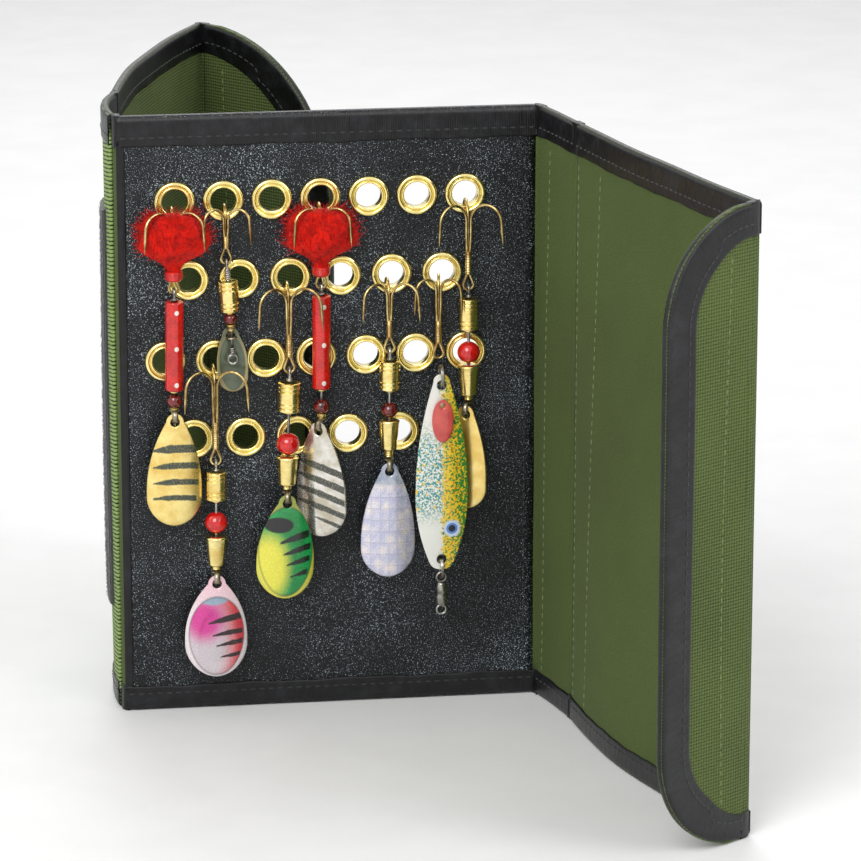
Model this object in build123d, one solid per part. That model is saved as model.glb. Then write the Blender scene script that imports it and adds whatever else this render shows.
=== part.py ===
from build123d import *
import math
import os

# Lure wallet standing half open on its lower edges. Sizes in mm and degrees.
# Frame: X along the middle panel, -Y in front of it, +Z up, Z = 0 under the lower edges.

# Middle panel
HEIGHT = 195.0
LEATHER_WIDTH = 131.5
PANEL_BORDER = 1.0
LEATHER_THICK = 1.0
BOARD_THICK = 1.2
CANVAS_THICK = 0.8
LINING_THICK = 0.8
WING_FILL = 0.4
LAYER_INSET = 0.2

# Binding tape over the edges
BINDING_TOP = 10.0
BINDING_BOTTOM = 8.0
BINDING_THICK = 0.45
FLAP_BINDING = 12.0

# Folding sections
RIGHT_SPINE = 29.0
LEFT_SPINE = 36.0
WING = 118.0
WING_BOW = 4.0
RIGHT_FLAP = 38.0
LEFT_FLAP = 60.0
RIGHT_FLAP_CORNER = 34.0
LEFT_FLAP_CORNER = 56.0
FOLD_CLEAR = 0.3
SPINE_FOLD_MAX = 110.0
FLAP_FOLD_MAX = 124.0

# Folds as photographed, turned from the flat wallet: minus is clockwise from above
RIGHT_SPINE_TURN = -75.0
RIGHT_WING_TURN = 1.6
RIGHT_FLAP_TURN = -71.6
LEFT_SPINE_TURN = -93.7
LEFT_WING_TURN = -14.9
LEFT_FLAP_TURN = -119.4

# Hook and loop strips
STRIP_WIDTH = 20.0
STRIP_THICK = 1.8
STRIP_FROM_FOLD = 6.0
STRIP_END_GAP = 22.0

# Eyelets, in staggered rows hung from the top edge: height, x of the first one, spacing, count
HOLE_RADIUS = 4.1
FLANGE_RADIUS = 6.5
CREST_RADIUS = 5.3
FLANGE_RISE = 1.4
BACK_RISE = 0.6
LIP_RISE = 0.77
BARREL_WALL = 0.5
EYELET_ROWS = (
    (HEIGHT - 27.7, -48.8, 15.3, 7),
    (HEIGHT - 53.0, -44.8, 16.1, 6),
    (HEIGHT - 79.1, -52.4, 15.95, 7),
    (HEIGHT - 104.8, -43.7, 16.4, 6),
)

# Lure hardware
HOOK_WIRE = 1.0
HOOK_SHANK = 1.7
HOOK_TIP = 7.0
HOOK_FLARE = 0.5
PLUMES = 10
FEATHER_RADIUS = 8.2
EYE_RADIUS = 2.0
EYE_HOLE = 1.15
SHAFT_WIRE = 0.9
LOOP_RADIUS = 1.9
LOOP_HOLE = 1.0
BORE_CLEAR = 0.03
BLADE_THICK = 0.6
BLADE_HOLE = 1.5
BLADE_CUP = 18.0
CLEVIS_STRAP = 0.8
CLEVIS_REACH = 3.4
HOOK_SIT = 0.15
HOOK_CENTRE_Y = 0.6

# Facets: sides of a round piece, and steps of an arc
EYELET_SIDES = 10
TURNED_SIDES = 8
HOOK_STEPS = 6
OUTLINE_STEPS = 28
ARC_STEPS = 6

PANEL_THICK = LEATHER_THICK + BOARD_THICK + CANVAS_THICK
MID_Y = PANEL_THICK / 2
WING_THICK = LINING_THICK + WING_FILL + CANVAS_THICK
PANEL_WIDTH = LEATHER_WIDTH + 2 * PANEL_BORDER
BARREL_RADIUS = HOLE_RADIUS + BARREL_WALL


def save(node, *shapes):
    solids = []
    for shape in shapes:
        solids.extend(shape.solids())
    solids = [solid for solid in solids if solid.volume > 0.01]
    whole = solids[0] if len(solids) == 1 else Compound(children=solids)
    whole.label = node
    export_step(whole, os.path.join("parts", node + ".step"))


def slab(x0, x1, y0, y1, z0, z1):
    block = Box(x1 - x0, y1 - y0, z1 - z0)
    return Pos((x0 + x1) / 2, (y0 + y1) / 2, (z0 + z1) / 2) * block


def upward_face(points):
    """Face of a closed outline in the XY plane, its normal along +Z."""
    face = make_face(Polyline(*points, close=True)).face()
    return -face if face.normal_at().Z < 0 else face


def stepped(wire):
    """Face of a closed curved outline in the XY plane, followed in equal steps."""
    return upward_face([wire @ (i / OUTLINE_STEPS) for i in range(OUTLINE_STEPS)])


def turned(loop, sides):
    """Facetted ring: a closed loop of (radius, height) carried round the Z axis, radius to the flats."""
    grow = 1 / math.cos(math.pi / sides)
    faces = []
    for i in range(len(loop)):
        r0, z0 = loop[i]
        r1, z1 = loop[(i + 1) % len(loop)]
        for k in range(sides):
            a = math.radians(360 * (k - 0.5) / sides)
            b = math.radians(360 * (k + 0.5) / sides)
            corners = [
                (grow * r0 * math.cos(a), grow * r0 * math.sin(a), z0),
                (grow * r0 * math.cos(b), grow * r0 * math.sin(b), z0),
                (grow * r1 * math.cos(b), grow * r1 * math.sin(b), z1),
                (grow * r1 * math.cos(a), grow * r1 * math.sin(a), z1),
            ]
            faces.append(Face(Wire.make_polygon(corners)))
    ring = Solid(Shell(faces))
    return ring if ring.volume > 0 else -ring


def fold_gap(half_thick, angle):
    """Gap beside a fold so that two sheets can turn by the angle without meeting."""
    return half_thick * math.tan(math.radians(angle / 2)) + FOLD_CLEAR


# Middle panel: leatherette, board and canvas, all pierced for the eyelets
def eyelet_places():
    places = []
    for z, first, pitch, count in EYELET_ROWS:
        for i in range(count):
            places.append((first + i * pitch, z))
    return places


def turned_to_y(shape):
    """Turn a shape made along Z so that its +Z points to the front, -Y."""
    return Rot(90, 0, 0) * shape


def pierced(plate, y0, y1):
    prism = RegularPolygon(BARREL_RADIUS, EYELET_SIDES, major_radius=False, rotation=180 / EYELET_SIDES)
    prism = turned_to_y(extrude(prism, y1 - y0 + 2, both=True))
    for x, z in eyelet_places():
        plate = plate - Pos(x, (y0 + y1) / 2, z) * prism
    return plate


def eyelet():
    """Brass eyelet: domed front flange, barrel through the panel and the clinched back flange."""
    back = -PANEL_THICK
    ring = turned([
        (HOLE_RADIUS, back - BACK_RISE),
        (FLANGE_RADIUS, back - BACK_RISE),
        (FLANGE_RADIUS, back),
        (BARREL_RADIUS, back),
        (BARREL_RADIUS, 0),
        (FLANGE_RADIUS, 0),
        (CREST_RADIUS, FLANGE_RISE),
        (HOLE_RADIUS, LIP_RISE),
    ], EYELET_SIDES)
    return turned_to_y(ring)


def make_panel():
    half = LEATHER_WIDTH / 2
    outer = PANEL_WIDTH / 2
    board_y = LEATHER_THICK
    canvas_y = LEATHER_THICK + BOARD_THICK
    top = HEIGHT - BINDING_THICK
    leather = slab(-half, half, 0, board_y, BINDING_THICK, top)
    board = slab(-half, half, board_y, canvas_y, BINDING_THICK, top)
    canvas = slab(-outer, outer, canvas_y, PANEL_THICK, BINDING_THICK, top)
    save("panel_leather", pierced(leather, 0, board_y))
    save("panel_board", pierced(board, board_y, canvas_y))
    save("panel_canvas", pierced(canvas, canvas_y, PANEL_THICK))
    low = slab(-outer, outer, -BINDING_THICK, PANEL_THICK + BINDING_THICK, 0, BINDING_BOTTOM)
    high = slab(-outer, outer, -BINDING_THICK, PANEL_THICK + BINDING_THICK, HEIGHT - BINDING_TOP, HEIGHT)
    core = slab(-outer - 1, outer + 1, 0, PANEL_THICK, BINDING_THICK, top)
    save("panel_binding", low - core, high - core)
    one = eyelet()
    rings = []
    for x, z in eyelet_places():
        rings.append(Pos(x, 0, z) * one)
    save("eyelets", *rings)


# Folding sections: each is built along X from its fold, inner face to -Y, then turned
class Chain:
    """Place and heading of one fold after another, from the middle panel outwards."""

    def __init__(self, side):
        self.side = side
        self.x = side * PANEL_WIDTH / 2
        self.y = MID_Y
        self.heading = 0.0

    def turn(self, angle):
        self.heading += angle

    def place(self, shape):
        return Pos(self.x, self.y, 0) * Rot(0, 0, self.heading) * shape

    def go(self, length):
        angle = math.radians(self.heading)
        self.x += self.side * length * math.cos(angle)
        self.y += self.side * length * math.sin(angle)


def bowed(side, start, end, y0, y1, z0, z1, bow):
    """Upright sheet from start to end, its middle bowed by bow towards the inner side."""
    if not bow:
        a, b = side * start, side * end
        return slab(min(a, b), max(a, b), y0, y1, z0, z1)
    lower = []
    for i in range(ARC_STEPS + 1):
        part = i / ARC_STEPS
        sag = bow * 4 * part * (1 - part)
        lower.append((side * (start + part * (end - start)), y0 - sag))
    upper = [(x, y + y1 - y0) for x, y in reversed(lower)]
    return Pos(0, 0, z0) * extrude(upward_face(lower + upper), z1 - z0, dir=(0, 0, 1))


def section_layers(side, start, end, bow):
    """Lining, canvas and the two edge bindings of one section, in the fold's own frame."""
    half = WING_THICK / 2
    seam = -half + LINING_THICK + WING_FILL / 2
    top = HEIGHT - BINDING_THICK
    lining = bowed(side, start, end, -half, seam, BINDING_THICK, top, bow)
    canvas = bowed(side, start, end, seam, half, BINDING_THICK, top, bow)
    core = bowed(side, start, end, -half, half, BINDING_THICK, top, bow)
    out = half + BINDING_THICK
    low = bowed(side, start, end, -out, out, 0, BINDING_BOTTOM, bow) - core
    high = bowed(side, start, end, -out, out, HEIGHT - BINDING_TOP, HEIGHT, bow) - core
    return lining, canvas, low, high


def flap_outline(side, start, length, corner):
    """Flap seen flat: straight at the fold, large round corners at its free end."""
    centre = start + length - corner
    points = [(side * start, HEIGHT), (side * start, 0)]
    for i in range(ARC_STEPS + 1):
        angle = math.radians(90 * i / ARC_STEPS)
        points.append((side * (centre + corner * math.sin(angle)), corner * (1 - math.cos(angle))))
    for i in range(ARC_STEPS + 1):
        angle = math.radians(90 * i / ARC_STEPS)
        points.append((side * (centre + corner * math.cos(angle)), HEIGHT - corner * (1 - math.sin(angle))))
    return upward_face(points)


def upright(face, y0, y1):
    """Extrude a face drawn in X and Z between two depths."""
    body = extrude(face, y1 - y0, dir=(0, 0, 1))
    return Pos(0, y1, 0) * Rot(90, 0, 0) * body


def make_flap(name, chain, length, corner):
    side = chain.side
    half = WING_THICK / 2
    seam = -half + LINING_THICK + WING_FILL / 2
    gap = fold_gap(half + BINDING_THICK, FLAP_FOLD_MAX)
    whole = flap_outline(side, gap, length - gap, corner)
    inner = flap_outline(side, gap - 1, length - gap + 1 - BINDING_THICK, corner - BINDING_THICK)
    low_cut = Rectangle(4 * length, HEIGHT - 2 * BINDING_THICK)
    inner = inner & (Pos(0, HEIGHT / 2) * low_cut)
    body = whole & inner
    save(name + "_lining", chain.place(upright(body, -half, seam)))
    save(name + "_canvas", chain.place(upright(body, seam, half)))
    window = flap_outline(side, gap - 1, length - gap + 1 - FLAP_BINDING, corner - FLAP_BINDING)
    band = Pos(0, HEIGHT / 2) * Rectangle(4 * length, HEIGHT - BINDING_TOP - BINDING_BOTTOM)
    window = window & (Pos(0, (BINDING_BOTTOM - BINDING_TOP) / 2) * band)
    out = half + BINDING_THICK
    tape = upright(whole - window, -out, out) - upright(inner, -half, half)
    save(name + "_binding", chain.place(tape))


def make_side(name, chain, spine, spine_turn, wing_turn, flap, corner, flap_turn):
    side = chain.side
    half = max(PANEL_THICK, WING_THICK) / 2 + BINDING_THICK
    chain.turn(spine_turn)
    gap = fold_gap(half, SPINE_FOLD_MAX)
    save(name + "_spine_web", *[chain.place(s) for s in section_layers(side, gap, spine, 0)])
    if side < 0:
        place_strip("loop_strip", chain, gap + STRIP_FROM_FOLD)
    chain.go(spine)
    chain.turn(wing_turn)
    gap = fold_gap(WING_THICK / 2 + BINDING_THICK, SPINE_FOLD_MAX)
    lining, canvas, low, high = section_layers(side, gap, WING, WING_BOW)
    save(name + "_wing_lining", chain.place(lining))
    save(name + "_wing_canvas", chain.place(canvas))
    save(name + "_wing_binding", chain.place(low), chain.place(high))
    chain.go(WING)
    chain.turn(flap_turn)
    make_flap(name + "_flap", chain, flap, corner)
    if side > 0:
        place_strip("hook_strip", chain, flap - FLAP_BINDING - LAYER_INSET - STRIP_WIDTH)


def place_strip(node, chain, start):
    """Strip of hook or loop tape sewn to the inner face of a section."""
    face = -WING_THICK / 2
    length = STRIP_END_GAP + BINDING_TOP
    tape = bowed(chain.side, start, start + STRIP_WIDTH, face - STRIP_THICK, face, length, HEIGHT - length, 0)
    save(node, chain.place(tape))


# Lures. Wires are six sided rods, and each lure is built round its own upright axis.
def rod(diameter, z0, z1):
    return Pos(0, 0, z0) * extrude(RegularPolygon(diameter / 2, 6), z1 - z0)


def eye_ring(outer, hole, thick, z):
    """Closed eye in the XZ plane."""
    ring = RegularPolygon(outer, 8) - RegularPolygon(hole, 8)
    return Pos(0, thick / 2, z) * Rot(90, 0, 0) * extrude(ring, thick)


def hexagon(x, z, radius):
    """Corners of a level hexagon round (x, 0, z)."""
    corners = []
    for i in range(6):
        angle = math.radians(60 * i)
        corners.append((x + radius * math.cos(angle), radius * math.sin(angle), z))
    return corners


def oblong(x, z, depth, width):
    """Corners of a level rectangle round (x, 0, z)."""
    return [
        (x - depth / 2, -width / 2, z),
        (x + depth / 2, -width / 2, z),
        (x + depth / 2, width / 2, z),
        (x - depth / 2, width / 2, z),
    ]


def drawn_between(root, tip):
    """Solid with flat faces between two loops of as many corners."""
    faces = [Face(Wire.make_polygon(root)), Face(Wire.make_polygon(tip))]
    for i in range(len(root)):
        j = (i + 1) % len(root)
        faces.append(Face(Wire.make_polygon([root[i], root[j], tip[j], tip[i]])))
    return Solid(Shell(faces))


def treble_arc(row, shift, bend):
    """Height of the hooks' arc centre, so that the rear one rests on the rim of its eyelet."""
    rim = math.sqrt(HOLE_RADIUS ** 2 - (abs(shift) + HOOK_WIRE / 2) ** 2)
    inner = bend - HOOK_WIRE / 2
    back = PANEL_THICK + BACK_RISE - HOOK_CENTRE_Y
    return EYELET_ROWS[row][0] - rim - math.sqrt(inner ** 2 - back ** 2) + HOOK_SIT


def treble(bend, z_arc, z_eye, twist=0.0):
    """Three hooks on one shank, one pointing back into the eyelet, two spread to the front."""
    body = rod(HOOK_SHANK, z_eye + EYE_RADIUS - 0.3, z_arc + 0.4)
    body = body + eye_ring(EYE_RADIUS, EYE_HOLE, HOOK_WIRE, z_eye)
    start = HOOK_SHANK / 4
    reach = 2 * bend
    middle = (start + reach) / 2
    half_step = math.radians(90 / HOOK_STEPS)
    grow = 1 / math.cos(half_step)
    points = [(start, 0, z_arc)]
    for i in range(HOOK_STEPS):
        angle = math.pi - (2 * i + 1) * half_step
        across = grow * (reach - start) / 2 * math.cos(angle)
        points.append((middle + across, 0, z_arc + grow * bend * math.sin(angle)))
    points.append((reach, 0, z_arc))
    section = Plane((start, 0, z_arc), z_dir=(0, 0, 1)) * RegularPolygon(HOOK_WIRE / 2, 6)
    bow = sweep(section, path=Polyline(*points), transition=Transition.RIGHT)
    tip = hexagon(reach + HOOK_FLARE, z_arc - HOOK_TIP, HOOK_WIRE / 8)
    spike = drawn_between(hexagon(reach, z_arc, HOOK_WIRE / 2), tip)
    hook = bow + spike
    for angle in (90, 210, 330):
        body = body + Rot(0, 0, angle + twist) * hook
    return body


def threaded(profile, z_low):
    """Turned piece with a bore for the shaft; profile is (radius, height) from its lower end."""
    bore = SHAFT_WIRE / 2 + BORE_CLEAR
    loop = [(radius, z_low + height) for radius, height in profile]
    loop.append((bore, z_low + profile[-1][1]))
    loop.append((bore, z_low + profile[0][1]))
    return turned(loop, TURNED_SIDES)


def bead(radius, z):
    half = radius * 0.92
    flat = radius * 0.4
    return threaded([(flat, -half), (radius * 0.93, -half * 0.45), (radius, 0), (radius * 0.93, half * 0.45),
                     (flat, half)], z)


def ribbed_body(radius, z_low, z_high):
    length = z_high - z_low
    ribs = 3
    pitch = length / ribs
    profile = [(radius * 0.82, 0)]
    for i in range(ribs):
        profile.append((radius, (i + 0.5) * pitch))
        profile.append((radius * 0.82, (i + 1) * pitch))
    return threaded(profile, z_low)


def tube_body(radius, z_low, z_high):
    length = z_high - z_low
    lip = radius * 0.25
    return threaded([(radius - lip, 0), (radius, lip), (radius, length - lip), (radius - lip, length)], z_low)


def cone_body(top, bottom, z_low, z_high):
    length = z_high - z_low
    return threaded([(bottom, 0), (top, length * 0.8), (top * 0.8, length)], z_low)


def blade(width, length, z_hole):
    """Leaf shaped blade, cupped about an upright axis, with its hole near the upper end."""
    neck = BLADE_HOLE + 1.3
    top = z_hole + neck
    low = top - length
    belly = low + width * 0.56
    side = width / 2
    shoulder = (z_hole + belly) / 2 + 2
    bulge = (neck + side) / 2 + width * 0.07
    outline = Wire([
        ThreePointArc((-neck, z_hole), (0, top), (neck, z_hole)),
        ThreePointArc((neck, z_hole), (bulge, shoulder), (side, belly)),
        ThreePointArc((side, belly), (0, low), (-side, belly)),
        ThreePointArc((-side, belly), (-bulge, shoulder), (-neck, z_hole)),
    ])
    leaf = stepped(outline) - Pos(0, z_hole) * RegularPolygon(BLADE_HOLE, 8)
    leaf = Rot(90, 0, 0) * extrude(leaf, 20, both=True)
    front = -CLEVIS_REACH + CLEVIS_STRAP + 0.25
    widest = math.asin((side + 1) / (BLADE_CUP - BLADE_THICK))
    outer = []
    inner = []
    for i in range(5):
        angle = widest * (i / 2 - 1)
        for radius, arc in ((BLADE_CUP, outer), (BLADE_CUP - BLADE_THICK, inner)):
            arc.append((radius * math.sin(angle), front + BLADE_CUP - radius * math.cos(angle)))
    cup = Pos(0, 0, low - 1) * extrude(upward_face(outer + inner[::-1]), top - low + 2)
    return leaf & cup


def clevis(z_hole):
    """Folded strap: two ears on the shaft, its bow through the hole of the blade."""
    upper = z_hole + BLADE_HOLE + 1.9
    strap = CLEVIS_STRAP
    front = -CLEVIS_REACH
    wide = 0.9
    bow = slab(-wide, wide, front - strap / 2, front + strap / 2, z_hole - strap / 2, upper + strap / 2)
    parts = bow
    for z in (z_hole, upper):
        leg = slab(-wide, wide, front, 0, z - strap / 2, z + strap / 2)
        ear = Pos(0, 0, z - strap / 2) * extrude(RegularPolygon(1.7, 8), strap)
        parts = parts + leg + ear
    bore = extrude(RegularPolygon(SHAFT_WIRE / 2 + 0.06, 6), 20)
    return parts - Pos(0, 0, z_hole - 10) * bore


def feathers(z_top, z_low, radius):
    """Feather dressing: tapered plumes round the shank, gathered at the collar."""
    body = turned([(HOOK_SHANK / 2 + 0.02, z_low - 1.5), (1.6, z_low - 1.5), (1.9, z_low + 1.5),
                   (HOOK_SHANK / 2 + 0.02, z_low + 1.5)], TURNED_SIDES)
    for i in range(PLUMES):
        spread = radius * (1 - 0.14 * ((i * 5) % 3))
        plume = drawn_between(oblong(1.3, z_low + 0.5, 0.6, 0.7), oblong(spread, z_top - (i % 3) * 2.5, 0.5, 2.0))
        body = body + Rot(0, 0, 360 * (i + 0.5) / PLUMES) * plume
    return body


class Lure:
    """Where one spinner hangs, and how far its pieces lie below the middle of its eyelet."""

    def __init__(self, number, row, column, shift, bend, eye, depth, lean, ribbed, body, bead_at, bead_radius,
                 cone, hole, blade_size, blade_turn):
        z_row, first, pitch, count = EYELET_ROWS[row]
        self.number = number
        self.x = first + column * pitch + shift
        self.z_arc = treble_arc(row, shift, bend)
        self.bend = bend
        self.eye = z_row - eye
        self.depth = depth
        self.lean = lean
        self.ribbed = ribbed
        self.body = (z_row - body[0], z_row - body[1], body[2])
        self.bead_at = z_row - bead_at
        self.bead_radius = bead_radius
        self.cone = (z_row - cone[0], z_row - cone[1], cone[2], cone[3]) if cone else None
        self.hole = z_row - hole
        self.blade_size = blade_size
        self.blade_turn = blade_turn


SPINNERS = (
    Lure(1, 0, 0, -0.9, 5.2, 26.7, 6.0, 0.8, False, (59.4, 30.6, 2.9), 62.9, 2.4,
         None, 69.3, (17.5, 37.0), 0),
    Lure(2, 0, 1, 0.4, 4.1, 17.9, 4.9, -3.0, True, (34.7, 24.7, 3.1), 37.1, 2.0,
         None, 43.3, (9.4, 21.0), 184),
    Lure(3, 2, 1, -0.8, 5.6, 31.5, 6.2, 0.6, True, (44.4, 35.1, 3.3), 52.0, 3.6,
         (66.1, 56.3, 3.4, 2.3), 71.7, (20.0, 34.0), 0),
    Lure(4, 1, 2, -1.0, 5.6, 28.3, 6.6, 1.8, True, (42.2, 32.7, 3.6), 52.9, 3.7,
         (66.2, 56.8, 3.5, 2.6), 72.0, (18.4, 34.5), 0),
    Lure(5, 0, 3, -0.3, 5.0, 26.7, 5.2, 0.4, False, (60.7, 30.5, 2.9), 66.7, 2.5,
         None, 74.1, (17.4, 38.0), -31),
    Lure(6, 1, 4, -1.2, 5.0, 23.1, 6.0, 0.8, True, (36.4, 27.0, 3.3), 43.2, 2.6,
         (56.0, 46.2, 3.2, 2.3), 62.8, (17.4, 38.0), 0),
    Lure(8, 0, 6, 0.5, 5.6, 28.6, 5.7, 0.0, True, (43.0, 32.9, 3.1), 50.5, 3.6,
         (64.4, 54.4, 3.4, 2.4), 70.3, (13.0, 34.0), -30),
)


def hang(shape, lure):
    """Put a piece built round the shaft axis into place, leaning about the eye of the treble."""
    turned = Pos(0, 0, lure.eye) * Rot(0, lure.lean, 0) * Pos(0, 0, -lure.eye) * shape
    return Pos(lure.x, -lure.depth, 0) * turned


def treble_y(bend):
    """Depth of the shank that centres the rear hook on the eyelet's rim."""
    return HOOK_CENTRE_Y - bend


def make_spinner(lure):
    name = "lure_" + str(lure.number)
    hook_at = Pos(lure.x, treble_y(lure.bend), 0)
    hooks = [hook_at * treble(lure.bend, lure.z_arc, lure.eye)]
    if not lure.ribbed:
        plumes = hook_at * feathers(lure.z_arc + lure.bend - 1.5, lure.eye + 6.5, FEATHER_RADIUS)
        room = slab(-PANEL_WIDTH, PANEL_WIDTH, -40, -FLANGE_RISE - 0.6, 0, HEIGHT)
        hooks.append((plumes - hooks[0]) & room)
    save(name + "_treble", *hooks)
    low, high, radius = lure.body
    shaft_low = lure.hole - 5.5
    loop_z = lure.eye - (EYE_RADIUS + EYE_HOLE) / 2
    loop_y = treble_y(lure.bend) + lure.depth
    middle = (LOOP_RADIUS + LOOP_HOLE) / 2
    drop = math.sqrt(max(0.0, middle ** 2 - loop_y ** 2))
    shaft = rod(SHAFT_WIRE, shaft_low, loop_z - drop)
    shaft = shaft + Pos(0, loop_y, 0) * Rot(0, 0, 90) * eye_ring(LOOP_RADIUS, LOOP_HOLE, SHAFT_WIRE, loop_z)
    shaft = shaft + eye_ring(LOOP_RADIUS, LOOP_HOLE, SHAFT_WIRE, shaft_low - LOOP_RADIUS + 0.3)
    save(name + "_shaft", hang(shaft, lure))
    body = ribbed_body(radius, low, high) if lure.ribbed else tube_body(radius, low, high)
    save(name + "_body", hang(body, lure))
    beads = [hang(bead(lure.bead_radius, lure.bead_at), lure)]
    if lure.cone:
        cone_low, cone_high, cone_top, cone_end = lure.cone
        beads.append(hang(cone_body(cone_top, cone_end, cone_low, cone_high), lure))
    save(name + "_beads", *beads)
    turn = Rot(0, 0, lure.blade_turn)
    width, length = lure.blade_size
    leaf = turn * blade(width, length, lure.hole)
    strap = turn * clevis(lure.hole)
    save(name + "_blade", hang(leaf, lure), hang(strap, lure))


# Spoon lure with split rings, tag and swivel
SPOON_X = 34.2
SPOON_TWIST = -8.0
SPOON_BEND = 4.1
SPOON_Y = -10.2
SPOON_EYE = EYELET_ROWS[1][0] - 25.8
SPOON_TOP = SPOON_EYE - 5.2
SPOON_LENGTH = 64.4
SPOON_BOTTOM = SPOON_TOP - SPOON_LENGTH
SPOON_WIDTH = 16.8
SPOON_THICK = 1.0
SPOON_ARCH = 1.6
SPOON_HOLE = 1.6
SPOON_HOLE_INSET = 3.4
RING_OUTER = 3.6
RING_HOLE = 2.7
RING_WIRE = 1.0
TAG_WIDTH = 6.8
TAG_LENGTH = 14.0


def spoon_plate():
    """Long oval plate, slightly hollow along its length, with a hole at each end."""
    half = (SPOON_TOP - SPOON_BOTTOM) / 2
    mid = (SPOON_TOP + SPOON_BOTTOM) / 2
    side = SPOON_WIDTH / 2
    tail = 2.6
    belly = mid - half * 0.15
    outline = Wire([
        ThreePointArc((-tail, SPOON_TOP - tail), (0, SPOON_TOP), (tail, SPOON_TOP - tail)),
        ThreePointArc((tail, SPOON_TOP - tail), (side * 0.83, mid + half * 0.36), (side, belly)),
        ThreePointArc((side, belly), (side * 0.78, mid - half * 0.68),
                      (tail * 1.4, SPOON_BOTTOM + tail * 0.7)),
        ThreePointArc((tail * 1.4, SPOON_BOTTOM + tail * 0.7), (0, SPOON_BOTTOM),
                      (-tail * 1.4, SPOON_BOTTOM + tail * 0.7)),
        ThreePointArc((-tail * 1.4, SPOON_BOTTOM + tail * 0.7), (-side * 0.78, mid - half * 0.68),
                      (-side, belly)),
        ThreePointArc((-side, belly), (-side * 0.83, mid + half * 0.36), (-tail, SPOON_TOP - tail)),
    ])
    face = stepped(outline)
    for z in (SPOON_TOP - SPOON_HOLE_INSET, SPOON_BOTTOM + SPOON_HOLE_INSET):
        face = face - Pos(0, z) * RegularPolygon(SPOON_HOLE, 8)
    plate = Rot(90, 0, 0) * extrude(face, 20, both=True)
    front = []
    for i in range(ARC_STEPS + 1):
        part = i / ARC_STEPS
        arch = SPOON_ARCH * 4 * part * (1 - part)
        front.append((-SPOON_THICK / 2 - arch, SPOON_BOTTOM - 1 + part * (2 * half + 2)))
    back = [(y + SPOON_THICK, z) for y, z in reversed(front)]
    strip = Plane.YZ * upward_face(front + back)
    return plate & extrude(strip, SPOON_WIDTH, both=True)


def split_ring(z, centre_y=0.0):
    """Split ring in the YZ plane, passing through a hole of the plate."""
    return Pos(0, centre_y, 0) * (Rot(0, 0, 90) * eye_ring(RING_OUTER, RING_HOLE, RING_WIRE, z))


def tag_angles():
    return [2 * math.pi * i / 16 for i in range(16)]


def make_spoon():
    z_row, first, pitch, count = EYELET_ROWS[1]
    bend = SPOON_BEND
    shift = SPOON_X - (first + (count - 1) * pitch)
    hooks = treble(bend, treble_arc(1, shift, bend), SPOON_EYE, SPOON_TWIST)
    save("lure_7_treble", Pos(SPOON_X, treble_y(bend), 0) * hooks)
    at = Pos(SPOON_X, SPOON_Y, 0)
    save("lure_7_spoon", at * spoon_plate())
    upper_ring = split_ring(SPOON_TOP - SPOON_HOLE_INSET + 3.0)
    lower_ring = split_ring(SPOON_BOTTOM + SPOON_HOLE_INSET - 3.0)
    z_swivel = SPOON_BOTTOM + SPOON_HOLE_INSET - 3.0 - RING_HOLE
    top_eye = eye_ring(1.9, 1.05, 0.8, z_swivel - 0.4)
    barrel = Pos(0, 0, z_swivel - 9.6) * extrude(RegularPolygon(1.9, 10), 7.6)
    low_eye = eye_ring(1.9, 1.05, 0.8, z_swivel - 11.2)
    save("lure_7_rings", at * upper_ring, at * lower_ring, at * (top_eye + barrel + low_eye))
    tag = upward_face([(TAG_WIDTH / 2 * math.cos(a), TAG_LENGTH / 2 * math.sin(a)) for a in tag_angles()])
    tag = Pos(0, -1.2, SPOON_TOP - 14.5) * Rot(90, 0, 0) * extrude(tag, 0.7)
    hole = Pos(0, 0, SPOON_TOP - 9.4) * Rot(90, 0, 0) * extrude(RegularPolygon(0.9, 8), 10, both=True)
    save("lure_7_tag", at * Pos(0, -1.4, 0) * (tag - hole))


def main():
    os.makedirs("parts", exist_ok=True)
    make_panel()
    make_side("right", Chain(1), RIGHT_SPINE, RIGHT_SPINE_TURN, RIGHT_WING_TURN, RIGHT_FLAP,
              RIGHT_FLAP_CORNER, RIGHT_FLAP_TURN)
    make_side("left", Chain(-1), LEFT_SPINE, LEFT_SPINE_TURN, LEFT_WING_TURN, LEFT_FLAP,
              LEFT_FLAP_CORNER, LEFT_FLAP_TURN)
    for lure in SPINNERS:
        make_spinner(lure)
    make_spoon()


main()
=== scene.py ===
import math
from collections import namedtuple

import bmesh
import bpy
import numpy as np
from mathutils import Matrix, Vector
from mathutils.geometry import delaunay_2d_cdt


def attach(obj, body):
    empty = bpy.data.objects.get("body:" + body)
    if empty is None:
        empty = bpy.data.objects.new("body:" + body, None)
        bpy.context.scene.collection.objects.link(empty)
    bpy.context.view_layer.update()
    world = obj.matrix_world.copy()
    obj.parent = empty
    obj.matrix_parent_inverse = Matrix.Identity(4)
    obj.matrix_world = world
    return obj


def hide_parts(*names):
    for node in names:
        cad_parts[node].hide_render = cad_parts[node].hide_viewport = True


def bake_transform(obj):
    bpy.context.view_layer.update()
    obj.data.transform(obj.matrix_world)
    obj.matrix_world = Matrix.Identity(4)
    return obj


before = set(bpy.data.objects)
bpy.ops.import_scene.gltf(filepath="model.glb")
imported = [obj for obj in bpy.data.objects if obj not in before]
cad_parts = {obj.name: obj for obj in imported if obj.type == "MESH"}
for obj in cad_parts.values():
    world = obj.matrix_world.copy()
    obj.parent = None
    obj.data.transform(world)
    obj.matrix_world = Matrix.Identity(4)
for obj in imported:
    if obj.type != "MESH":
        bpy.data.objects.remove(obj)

bl_info = {
    "name": "Lure wallet",
    "version": (1, 0, 0),
    "blender": (4, 5, 0),
    "location": "3D View > Sidebar > Lure wallet",
    "description": "Folding lure wallet with an eyelet panel, spinners and a spoon",
    "category": "Add Mesh",
}

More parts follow.
